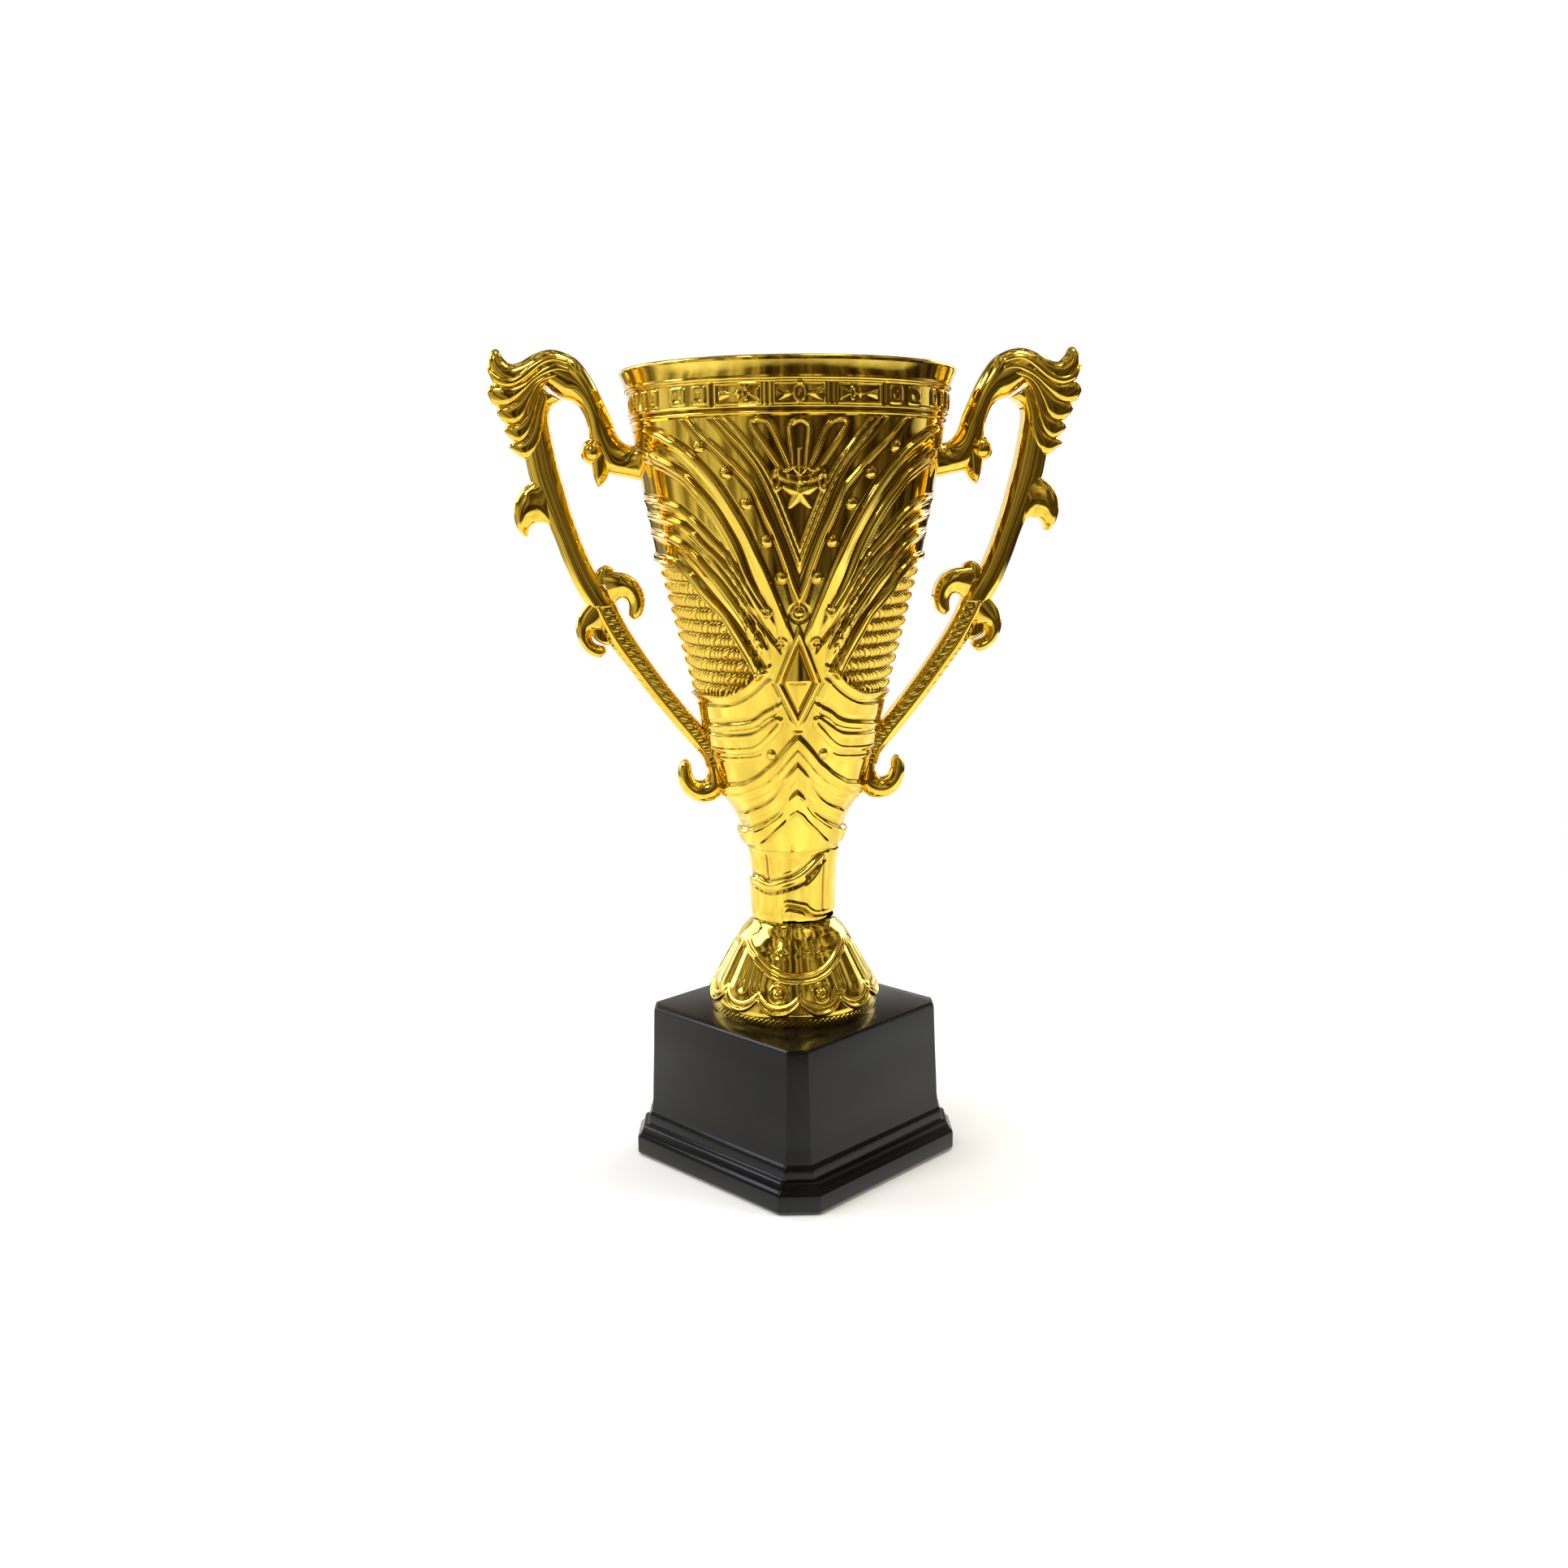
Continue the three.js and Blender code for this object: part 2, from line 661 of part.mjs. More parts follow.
function postSolids() {
  const height = deckUnderside - coverTop - seatGap;
  const postHead = 1;
  return [0, 1, 2, 3].map((quarter) => {
    const post = new THREE.CylinderGeometry(postRadius, postRadius, height + postHead, pieceSides);
    post.rotateX(Math.PI / 2);
    post.translate(postReach, 0, coverTop + seatGap + (height + postHead) / 2);
    const pilotLength = 2 * coverScrewLength;
    const pilot = new THREE.CylinderGeometry(screwHoleRadius, screwHoleRadius, pilotLength, holeSides);
    pilot.rotateX(Math.PI / 2).translate(postReach, 0, coverTop);
    return { post: toSolid(post).rotate([0, 0, 90 * quarter]), pilot: toSolid(pilot).rotate([0, 0, 90 * quarter]) };
  });
}

// A moulded shell, open below, with a rod hole and a low ring that centres the foot.
function plinthShell() {
  const profile = [[0, deckUnderside], ...plinthInside().reverse(), ...plinthOutside(), [0, plinthHeight]];
  let shell = toSolid(mouldedSquare(profile));
  for (const { post, pilot } of postSolids()) shell = shell.add(post).subtract(pilot);
  const ringProfile = [
    [footRingRadius - spigotWall, plinthHeight - plinthDeck / 2],
    [footRingRadius, plinthHeight - plinthDeck / 2],
    [footRingRadius, plinthHeight + spigotHeight],
    [footRingRadius - spigotWall, plinthHeight + spigotHeight],
  ];
  shell = shell.add(toSolid(turnedRing(ringProfile, shellSides)));
  const rodHole = new THREE.CylinderGeometry(rodHoleRadius, rodHoleRadius, 4 * plinthDeck, pieceSides);
  shell = shell.subtract(toSolid(rodHole.rotateX(Math.PI / 2).translate(0, 0, plinthHeight)));
  return node("plinth_shell", toGeometry(shell), blackPlastic());
}

// ---- Underside ----

function bottomCover() {
  const half = skirtHalf - plinthWall - slideGap;
  const profile = [
    [0, coverBase],
    [half, coverBase],
    [half, coverTop],
    [0, coverTop],
  ];
  let cover = toSolid(mouldedSquare(profile));
  for (let quarter = 0; quarter < 4; quarter += 1) {
    const hole = new THREE.CylinderGeometry(screwHoleRadius, screwHoleRadius, 4 * coverThickness, holeSides);
    hole.rotateX(Math.PI / 2).translate(postReach, 0, coverBase);
    cover = cover.subtract(toSolid(hole).rotate([0, 0, 90 * quarter]));
  }
  return node("bottom_cover", toGeometry(cover), blackPlastic());
}

function coverScrew(quarter) {
  const group = new THREE.Group();
  group.rotation.z = (quarter * Math.PI) / 2;
  const screw = node(`cover_screw_${quarter + 1}`, screwGeometry(coverScrewLength), zincSteel());
  screw.position.set(postReach, 0, coverBase - seatGap);
  group.add(screw);
  return group;
}

function footPad(quarter) {
  const group = new THREE.Group();
  group.rotation.z = (quarter * Math.PI) / 2;
  const profile = [
    [0, 0],
    [padRadius - 0.6, 0],
    [padRadius, 0.6],
    [padRadius, padHeight],
    [0, padHeight],
  ];
  const pad = node(`foot_pad_${quarter + 1}`, turned(profile, pieceSides), rubber());
  const reach = skirtHalf - plinthWall - padInset;
  pad.position.set(reach, reach, 0);
  group.add(pad);
  return group;
}

// ---- Clamp: rod, nuts, washers and ballast ----

const ballastTop = deckUnderside - seatGap;
const baseWasherTop = ballastTop - ballastThickness - seatGap;
const baseNutTop = baseWasherTop - washerThickness - seatGap;
const bowlWasherBase = bowlFloorTop + seatGap;
const bowlNutBase = bowlWasherBase + washerThickness + seatGap;

function clampParts() {
  const rodBottom = baseNutTop - nutThickness - rodProud;
  const rodTop = bowlNutBase + nutThickness + rodProud;
  const rodRadius = rodDiameter / 2;
  const chamfer = 0.8;
  const rodProfile = [
    [0, rodBottom],
    [rodRadius - chamfer, rodBottom],
    [rodRadius, rodBottom + chamfer],
    [rodRadius, rodTop - chamfer],
    [rodRadius - chamfer, rodTop],
    [0, rodTop],
  ];
  const ballastRadius = postReach - postRadius - ballastGap;
  const ballastProfile = [
    [rodHoleRadius, ballastTop - ballastThickness],
    [ballastRadius - 1, ballastTop - ballastThickness],
    [ballastRadius, ballastTop - ballastThickness + 1],
    [ballastRadius, ballastTop],
    [rodHoleRadius, ballastTop],
  ];
  const bowlWasher = node("bowl_washer", washerGeometry(bowlWasherRadius), zincSteel());
  bowlWasher.position.z = bowlWasherBase;
  const bowlNut = node("bowl_nut", nutGeometry(), zincSteel());
  bowlNut.position.z = bowlNutBase;
  const baseWasher = node("base_washer", washerGeometry(baseWasherRadius), zincSteel());
  baseWasher.position.z = baseWasherTop - washerThickness;
  const baseNut = node("base_nut", nutGeometry(), zincSteel());
  baseNut.position.z = baseNutTop - nutThickness;
  return [
    node("tie_rod", turned(rodProfile, pieceSides), zincSteel()),
    node("ballast_weight", turnedRing(ballastProfile, pieceSides), castIron()),
    bowlWasher,
    bowlNut,
    baseWasher,
    baseNut,
  ];
}

// ---- Assembly ----

const plinth = new THREE.Group();
plinth.rotation.z = THREE.MathUtils.degToRad(plinthTurn);
plinth.add(plinthShell(), bottomCover());
for (let quarter = 0; quarter < 4; quarter += 1) plinth.add(coverScrew(quarter), footPad(quarter));

const trophy = new THREE.Group();
trophy.add(plinth, footBell(), stemSleeve(), cupBowl());
trophy.add(handle("handle_right", 1), handle("handle_left", -1));
trophy.add(...handleFixings.map(handleScrew));
trophy.add(...clampParts());

export default trophy;
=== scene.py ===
"""A two-handled award cup: gold-plated plastic shells, clamped by one rod to a black plinth."""

import math

import bmesh
import bpy
import numpy as np
from mathutils import Matrix, Vector


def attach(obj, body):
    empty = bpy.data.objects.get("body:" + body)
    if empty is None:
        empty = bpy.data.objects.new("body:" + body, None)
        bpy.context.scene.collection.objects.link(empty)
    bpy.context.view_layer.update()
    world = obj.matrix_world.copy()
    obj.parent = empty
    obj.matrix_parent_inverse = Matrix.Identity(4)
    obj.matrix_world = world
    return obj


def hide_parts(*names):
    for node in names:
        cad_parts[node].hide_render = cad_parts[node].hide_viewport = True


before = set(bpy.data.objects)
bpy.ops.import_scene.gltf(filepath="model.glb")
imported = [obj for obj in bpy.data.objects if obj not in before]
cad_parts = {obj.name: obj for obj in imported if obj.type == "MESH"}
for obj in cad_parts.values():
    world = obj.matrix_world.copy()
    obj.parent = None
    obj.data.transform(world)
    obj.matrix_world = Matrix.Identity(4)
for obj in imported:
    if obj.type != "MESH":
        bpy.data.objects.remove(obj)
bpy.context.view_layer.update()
scene = bpy.context.scene
scene.view_settings.view_transform = "Standard"


# ---- Camera ----
# A portrait lens a little above the middle of the cup, looking slightly down. The cup's handles are turned
# four degrees out of square to it.

camera_distance = 0.49158
camera_height = 0.21843
camera_azimuth = math.radians(-4.1)
camera_pan = Matrix.Rotation(math.radians(0.304), 3, "Z")
camera_tilt = Matrix.Rotation(math.radians(-10.196), 3, "X")
camera_roll = Matrix.Rotation(math.radians(0.657), 3, "Y")
level_lens = Matrix.Rotation(math.radians(90), 3, "X")

camera_data = bpy.data.cameras.new("studio_camera")
camera_data.sensor_width = 36
camera_data.lens = 33.74
camera = bpy.data.objects.new("studio_camera", camera_data)
turned = Matrix.Rotation(camera_azimuth, 3, "Z")
camera_place = turned @ Vector((0, -camera_distance, camera_height))
camera_axes = turned @ (camera_pan @ camera_tilt) @ camera_roll @ level_lens
camera.matrix_world = Matrix.Translation(camera_place) @ camera_axes.to_4x4()
scene.collection.objects.link(camera)
scene.camera = camera


# ---- Table and studio light ----
# A pale table, glowing evenly white where it runs out behind the cup, which shows the plating a painted
# glow of its own. Around it stand large soft boxes, and the rest of the room is dim with brighter strips,
# which the plating shows as its dark middle and streaks.

table_half = 6.0
shadow_reach = 0.30
white_reach = 0.62
bright_table_reach = 0.30
dim_table_reach = 0.40
side_squeeze = 0.6
strip_scale = 4.3
strip_side_shade = -0.1

table_mesh = bpy.data.meshes.new("table")
table_shape = bmesh.new()
bmesh.ops.create_grid(table_shape, x_segments=1, y_segments=1, size=table_half)
table_shape.to_mesh(table_mesh)
table_shape.free()
table = bpy.data.objects.new("table", table_mesh)
scene.collection.objects.link(table)


def feed(node, inputs):
    """Sets a node's inputs to values, or links them from outputs of other nodes."""
    for socket, value in inputs.items():
        if isinstance(value, bpy.types.NodeSocket):
            node.id_data.links.new(value, node.inputs[socket])
        else:
            node.inputs[socket].default_value = value
    return node


def add(tree, kind, inputs=(), operation=None):
    """A new shader node of a kind, with its inputs fed."""
    made = tree.nodes.new("ShaderNode" + kind)
    if operation:
        made.operation = operation
    return feed(made, dict(inputs))


def mix(tree, share, first, second):
    """Two colours mixed by a share."""
    made = tree.nodes.new("ShaderNodeMix")
    made.data_type = "RGBA"
    return feed(made, {"Factor": share, "A": first, "B": second}).outputs["Result"]


def ramp(tree, value, *stops):
    """A colour ramp with the given positions and grey levels or colours, read at a value."""
    made = add(tree, "ValToRGB", {"Fac": value})
    elements = made.color_ramp.elements
    while len(elements) < len(stops):
        elements.new(0.5)
    for element, (position, colour) in zip(elements, stops):
        element.position = position
        element.color = (colour, colour, colour, 1) if isinstance(colour, (int, float)) else (*colour, 1)
    return made.outputs["Color"]


def map_range(tree, value, old=(0, 1), new=(0, 1)):
    """A value carried from an old range to a new one, and held at its ends."""
    inputs = {"Value": value, "From Min": old[0], "From Max": old[1], "To Min": new[0], "To Max": new[1]}
    return add(tree, "MapRange", inputs).outputs["Result"]


def noise(tree, vector, scale, detail, roughness=0.5):
    """A soft noise read along a vector."""
    inputs = {"Vector": vector, "Scale": scale, "Detail": detail, "Roughness": roughness}
    return add(tree, "TexNoise", inputs).outputs["Fac"]


def streaks(tree, vector):
    """Upright bright and dark strips round the room, from a noise that ignores height."""
    flat = add(tree, "VectorMath", {0: vector, 1: (1, 1, 0)}, "MULTIPLY").outputs[0]
    unit = add(tree, "VectorMath", {0: flat}, "NORMALIZE").outputs[0]
    side = add(tree, "SeparateXYZ", {0: unit}).outputs["X"]
    strips = noise(tree, unit, strip_scale, 4, 0.7)
    return add(tree, "Math", {0: side, 1: strip_side_shade, 2: strips}, "MULTIPLY_ADD").outputs[0]


# What the camera sees of the table: pale paint near the cup, even white farther out.
table_paint_and_glow = bpy.data.materials.new("table_paint_and_glow")
table_paint_and_glow.use_nodes = True
tree = table_paint_and_glow.node_tree
paint = feed(tree.nodes["Principled BSDF"], {"Roughness": 0.8, "Base Color": (0.92, 0.92, 0.92, 1)})
spot = add(tree, "TexCoord").outputs["Object"]
reach = add(tree, "VectorMath", {0: spot}, "LENGTH").outputs["Value"]
lit = ramp(tree, reach, (shadow_reach, 0.0), (white_reach, 1.0))
white = add(tree, "Emission", {"Color": (1, 1, 1, 1)})
shown = add(tree, "MixShader", {0: lit, 1: paint.outputs[0], 2: white.outputs[0]})

# What the plating reflects of it is a painted glow rather than lit paint: the table emits a bright near
# zone and a streaky far one with a painted dark middle, seen only by reflection rays.
sideways = add(tree, "VectorMath", {0: spot}, "NORMALIZE").outputs[0]
side_share = add(tree, "SeparateXYZ", {0: sideways}).outputs["X"]
off_middle = add(tree, "Math", {0: side_share}, "ABSOLUTE").outputs[0]
middle_shade = map_range(tree, off_middle, (0.12, 0.5), (-0.075, 0.01))
shaded_strips = add(tree, "Math", {0: streaks(tree, spot), 1: middle_shade}, "ADD").outputs[0]
far_tones = ramp(
    tree, shaded_strips, (0.38, (0.016, 0.009, 0.004)), (0.46, (0.06, 0.038, 0.018)),
    (0.53, (0.2, 0.155, 0.09)), (0.6, (0.4, 0.36, 0.25)), (0.68, (0.8, 0.76, 0.64)),
)
near_tones = ramp(
    tree, noise(tree, spot, 7, 2),
    (0.3, (0.88, 0.85, 0.74)), (0.5, (1.12, 1.1, 1.0)), (0.7, (1.5, 1.5, 1.45)),
)
ahead = add(tree, "VectorMath", {0: spot, 1: (9, 0, 9)}, "MINIMUM").outputs[0]
squeezed = add(tree, "VectorMath", {0: ahead, 1: (side_squeeze, 1, 1)}, "MULTIPLY").outputs[0]
front_reach = add(tree, "VectorMath", {0: squeezed}, "LENGTH").outputs["Value"]
edge = map_range(tree, front_reach, (bright_table_reach, dim_table_reach))
glow = add(tree, "Emission", {"Color": mix(tree, edge, near_tones, far_tones)})
glossy = add(tree, "LightPath").outputs["Is Glossy Ray"]
pick = add(tree, "MixShader", {0: glossy, 1: shown.outputs[0], 2: glow.outputs[0]})
feed(tree.nodes["Material Output"], {0: pick.outputs[0]})
table_mesh.materials.append(table_paint_and_glow)

# The room: streaky walls that are pale behind the cup, under a cluttered ceiling, against a white backdrop.
room = bpy.data.worlds.new("room")
scene.world = room
room.use_nodes = True
tree = room.node_tree
tree.nodes.clear()
outward = add(tree, "TexCoord").outputs["Generated"]
split = add(tree, "SeparateXYZ", {0: outward})
wall_tones = ramp(
    tree, streaks(tree, outward), (0.38, (0.02, 0.012, 0.006)), (0.48, (0.09, 0.06, 0.032)),
    (0.56, (0.24, 0.19, 0.12)), (0.64, (0.7, 0.64, 0.5)),
)
behind = ramp(tree, map_range(tree, split.outputs["Y"], (-1, 1)), (0.55, 0.0), (0.68, 1.0))
walls = mix(tree, behind, wall_tones, (0.92, 0.91, 0.88, 1))
stretched = add(tree, "VectorMath", {0: outward, 1: (2.6, 0.9, 0)}, "MULTIPLY").outputs[0]
clutter = noise(tree, stretched, 3.2, 4, 0.6)
dim_clutter = ramp(
    tree, clutter, (0.42, (0.03, 0.018, 0.007)), (0.52, (0.17, 0.125, 0.065)), (0.61, (0.7, 0.62, 0.42)),
)
bright_clutter = ramp(
    tree, clutter, (0.42, (0.05, 0.03, 0.012)), (0.49, (0.2, 0.15, 0.08)),
    (0.55, (0.55, 0.48, 0.32)), (0.62, (1.3, 1.25, 1.1)),
)
overhead = ramp(tree, split.outputs["Z"], (0.68, 0.0), (0.88, 1.0))
roof = mix(tree, overhead, dim_clutter, bright_clutter)
ceiling = ramp(tree, split.outputs["Z"], (0.14, 0.0), (0.38, 1.0))
room_light = add(tree, "Background", {"Color": mix(tree, ceiling, walls, roof)})
backdrop = add(tree, "Background", {"Color": (1, 1, 1, 1)})
in_view = add(tree, "LightPath").outputs["Is Camera Ray"]
room_mix = add(tree, "MixShader", {0: in_view, 1: room_light.outputs[0], 2: backdrop.outputs[0]})
add(tree, "OutputWorld", {0: room_mix.outputs[0]})


def soft_box(name, place, aim, size, power, colour=(1, 1, 1)):
    """A large flat lamp that faces a point on the cup."""
    lamp = bpy.data.lights.new(name, "AREA")
    lamp.shape = "RECTANGLE"
    lamp.size, lamp.size_y = size
    lamp.energy = power
    lamp.color = colour
    box = bpy.data.objects.new(name, lamp)
    towards = (Vector(aim) - Vector(place)).to_track_quat("-Z", "Y")
    box.matrix_world = Matrix.Translation(place) @ towards.to_matrix().to_4x4()
    scene.collection.objects.link(box)
    return box


for lamp in (
    soft_box("top_box", (0.0, 0.15, 1.4), (0, 0, 0.2), (1.0, 0.7), 10),
    soft_box("left_box", (-1.0, -0.55, 0.75), (0, 0, 0.15), (0.3, 0.9), 7),
    soft_box("right_box", (1.05, -0.3, 0.6), (0, 0, 0.15), (0.25, 0.9), 5, (1, 0.95, 0.86)),
):
    lamp.visible_glossy = False
soft_box("window_box", (-0.62, -0.85, 1.15), (0, 0, 0.2), (0.2, 0.28), 1.8)
soft_box("ceiling_box", (0.3, -0.1, 1.5), (0, 0, 0.2), (0.28, 0.4), 3)
soft_box("sky_box", (-0.9, 0.12, 0.86), (0, 0, 0.1), (0.5, 0.5), 4.5, (0.72, 0.84, 1))
soft_box("rear_left_box", (-0.9, 0.8, 0.6), (0, 0, 0.15), (0.5, 0.8), 5)
soft_box("rear_right_box", (0.9, 0.9, 0.6), (0, 0, 0.15), (0.5, 0.8), 5)


# ---- Cup bowl ----
# The tall bowl, a thin moulded shell of ABS with its pattern in relief, metallised and lacquered gold. Its
# two mould halves meet behind the handles, so the wall is made as a front and a back with that seam.

# From here on sizes are in millimetres, and angles in degrees from the middle of the front.
MM = 0.001
mould_seam = 90
# How deep a hollow must be to take painted shade, over what depth that shade grows, and its strongest
# share.
painted_shade_start = 0.04
painted_shade_span = 0.26
painted_shade_most = 0.85

wall_profile = [
    (109.8, 15.9), (112, 16.3), (114, 16.6), (116, 16.9), (117.7, 17.3), (119.2, 17.9), (122, 19.9),
    (126, 22.4), (132, 24.8), (139, 26.9), (145, 28.5), (151, 30.0), (157, 31.3), (162, 32.5), (170, 34.6),
    (184, 38.2), (195, 40.9), (205, 43.2), (213, 44.7), (218.5, 45.8), (224, 46.9), (231, 48.1),
    (242, 50.0), (248.6, 50.5),
]


def smooth_line(points, steps=240):
    """A curve through points without overshoot, as fine positions, levels and slopes."""
    points = sorted(points)
    at = np.array([p[0] for p in points], float)
    level = np.array([p[1] for p in points], float)
    gap = np.diff(at)
    rise = np.diff(level) / gap
    slope = np.empty(len(at))
    slope[0], slope[-1] = rise[0], rise[-1]
    both = rise[:-1] * rise[1:]
    mean = 3 * (gap[:-1] + gap[1:]) / (
        (2 * gap[1:] + gap[:-1]) / np.where(rise[:-1] == 0, 1, rise[:-1])
        + (gap[1:] + 2 * gap[:-1]) / np.where(rise[1:] == 0, 1, rise[1:])
    )
    slope[1:-1] = np.where(both > 0, mean, 0)
    fine = np.linspace(at[0], at[-1], steps)
    piece = np.clip(np.searchsorted(at, fine) - 1, 0, len(gap) - 1)
    t = (fine - at[piece]) / gap[piece]
    values = (
        (1 + 2 * t) * (1 - t) ** 2 * level[piece]
        + t * (1 - t) ** 2 * gap[piece] * slope[piece]
        + t**2 * (3 - 2 * t) * level[piece + 1]
        + t**2 * (t - 1) * gap[piece] * slope[piece + 1]
    )
    return fine, values, np.gradient(values, fine)


def level_on(line, at):
    return np.interp(at, line[0], line[1])


def clearance_from(line, angle, height, radius):
    """Signed distance from a line drawn on the bowl, in millimetres, positive above it."""
    lean = np.interp(angle, line[0], line[2]) / (radius * math.pi / 180)
    return (height - level_on(line, angle)) / np.hypot(1, lean)


def ease(value, low, high):
    t = np.clip((value - low) / (high - low), 0, 1)
    return t * t * (3 - 2 * t)


def between(value, low, high, soft):
    return ease(value, low - soft, low + soft) * (1 - ease(value, high - soft, high + soft))


def bead(distance, half):
    """A rounded ridge, 1 at its top and 0 from its half width outwards."""
    return np.clip(1 - (distance / half) ** 2, 0, 1) ** 1.5


def dome(distance, half):
    """A half ball, 1 at its top and 0 from its half width outwards."""
    return np.sqrt(np.clip(1 - (distance / half) ** 2, 0, 1))


def feather(distance, sharp, fall):
    """An edge that stands up sharply on its upper side and runs out slowly below."""
    above_edge = 1 - ease(distance, 0, sharp)
    below_edge = 1 - ease(-distance, 0, fall)
    return np.where(distance > 0, above_edge, below_edge)


def outline_distance(across, up, points):
    """Distance from a closed outline, and whether the spot is inside it."""
    points = [np.array(p, float) for p in points]
    nearest = np.full(across.shape, 1e9)
    inside = np.zeros(across.shape, bool)
    for start, end in zip(points, points[1:] + points[:1]):
        edge = end - start
        share = ((across - start[0]) * edge[0] + (up - start[1]) * edge[1]) / (edge @ edge + 1e-12)
        t = np.clip(share, 0, 1)
        apart = np.hypot(across - start[0] - t * edge[0], up - start[1] - t * edge[1])
        nearest = np.minimum(nearest, apart)
        if start[1] != end[1]:
            crosses = (up < start[1]) != (up < end[1])
            meet = start[0] + (up - start[1]) * edge[0] / edge[1]
            inside ^= crosses & (across < meet)
    return nearest, inside


def spline(a, b, c, d, t):
    """A place on a smooth curve from b to c, between neighbours a and d."""
    return 0.5 * (2 * b + (c - a) * t + (2 * a - 5 * b + 4 * c - d) * t**2 + (3 * b - a - 3 * c + d) * t**3)


def rounded_outline(points, steps=6):
    """A smooth closed outline through a few points."""
    ring = [Vector(p) for p in points]
    count = len(ring)
    return [
        spline(ring[k - 1], ring[k], ring[(k + 1) % count], ring[(k + 2) % count], step / steps)
        for k in range(count)
        for step in range(steps)
    ]


# The lines of the pattern, as heights at angles off the middle of the front.
inner_v_outer = smooth_line([
    (0, 206), (2, 210), (5, 216), (10, 226), (15, 234.5), (20, 240), (25, 244.5), (30, 249), (34, 252),
])
inner_v_inner = smooth_line([
    (0, 209), (2, 213), (5, 219.5), (8, 226), (13, 234), (18, 240), (22, 244.5), (27, 249), (31, 252),
])
outer_v = smooth_line([
    (0, 194.5), (2.5, 199), (5, 205), (7.5, 210.5), (10, 215.5), (12.5, 220), (15, 225), (17, 228.5),
    (20, 231.5), (25, 236), (30, 240), (35, 243.5), (40, 248), (43, 250.5), (46, 253),
])
line_a = smooth_line([
    (0, 176), (5, 185.5), (10, 195), (15, 205), (20, 214.5), (25, 222), (30, 228.5), (35, 233.5),
    (40, 237.7), (45, 240.7), (50, 242.7), (55, 244.6), (60, 245.5), (65, 246.5), (90, 248),
])
line_b = smooth_line([
    (0, 165), (8, 181), (15, 192), (20, 199), (25, 210), (30, 218), (35, 224), (40, 228.5), (45, 232.3),
    (50, 234.5), (55, 236.3), (60, 237.6), (64, 239), (90, 241),
])
line_c = smooth_line([
    (0, 160), (8, 176), (16, 190), (20, 195), (25, 202), (30, 208), (35, 212), (40, 216), (45, 219.5),
    (50, 222), (55, 223.5), (60, 224.3), (65, 225), (90, 226),
])
line_d = smooth_line([
    (0, 160), (10, 176), (20, 191), (25, 198), (30, 203.5), (35, 207.5), (40, 211), (45, 214.8), (50, 217),
    (55, 218.5), (60, 219.3), (90, 221),
])
line_e = smooth_line([
    (0, 156), (8, 168), (15, 178), (20, 183), (25, 189), (30, 194.5), (35, 199.5), (40, 203.5),
    (45, 207.5), (50, 210.5), (55, 212.3), (60, 213.5), (90, 215.5),
])
line_f = smooth_line([
    (0, 146), (8, 157), (17, 169.5), (20, 172), (25, 178.5), (30, 184.8), (35, 190.5), (40, 194),
    (45, 197.7), (50, 202), (55, 204.5), (60, 206.5), (90, 208),
])
deep_groove = smooth_line([
    (0, 166), (9, 179.5), (12, 182), (20, 190.2), (30, 200.5), (37, 207.3), (50, 214.2), (60, 217),
    (90, 219),
])
border_groove = smooth_line([
    (0, 150), (15, 170), (20, 176), (30, 187), (40, 196), (50, 203.7), (60, 208.3), (90, 210),
])
lip_line = smooth_line([
    (0, 176), (17, 171), (20, 169.5), (25, 167), (30, 165), (35, 163.5), (40, 162.5), (50, 161.7),
    (60, 161.5), (70, 161.2), (90, 161),
])
line_g = smooth_line([
    (0, 163), (10.5, 161.5), (15, 160), (20, 158.5), (25, 156.5), (30, 155.3), (35, 154.7), (45, 154),
    (55, 153.3), (70, 152.7), (90, 152.5),
])
leaf_upper = smooth_line([
    (9, 156.2), (12, 156.8), (15, 156), (20, 154), (25, 152.2), (30, 151), (40, 150.3), (60, 149.6),
    (90, 149.4),
])
leaf_lower = smooth_line([
    (9, 155.2), (12, 153), (15, 151.3), (20, 148.6), (25, 146.6), (30, 145.5), (40, 144.8), (50, 144.3),
    (60, 144), (90, 143.7),
])
chevron_1 = smooth_line([
    (0, 150.2), (5, 147.5), (10, 144.5), (15, 141.5), (20, 139.5), (25, 137.5), (30, 136), (35, 134.8),
    (40, 133.7), (50, 132.8), (60, 132), (70, 130.5), (90, 130),
])
chevron_2 = smooth_line([
    (0, 145.5), (5, 142.5), (10, 139.5), (15, 137), (20, 135), (30, 132), (40, 130.3), (50, 129.2),
    (60, 128.5), (75, 127.7), (90, 127.5),
])
chevron_3 = smooth_line([
    (0, 140.5), (5, 137.5), (10, 133.5), (20, 128.5), (30, 125.9), (40, 124.3), (50, 122.7), (60, 121.8),
    (75, 121), (90, 120.8),
])
chevron_4 = smooth_line([
    (0, 132.5), (5, 130.5), (10, 127.4), (15, 125), (20, 123.5), (30, 121), (40, 119.2), (50, 118),
    (60, 117.2), (75, 116.7), (90, 116.5),
])
collar_edge = smooth_line([
    (0, 124.7), (5, 123.3), (10, 121), (15, 119.2), (20, 117.6), (25, 116), (30, 114.6), (35, 113.4),
    (42, 112), (60, 111), (90, 110.6),
])

cone_lean = 0.406
ringed_stud_height = 190.3
stud_places = [(36.5, 240), (26.8, 232.2), (20, 223), (13, 212), (7.2, 201)]
stud_radius = 1.7
rope_pitch = 4.08
rope_first = 199.5
diamond_top, diamond_middle, diamond_bottom = 184.5, 168, 155
diamond_half = 6.4
upper_facet, lower_facet = 2.3, 1.0


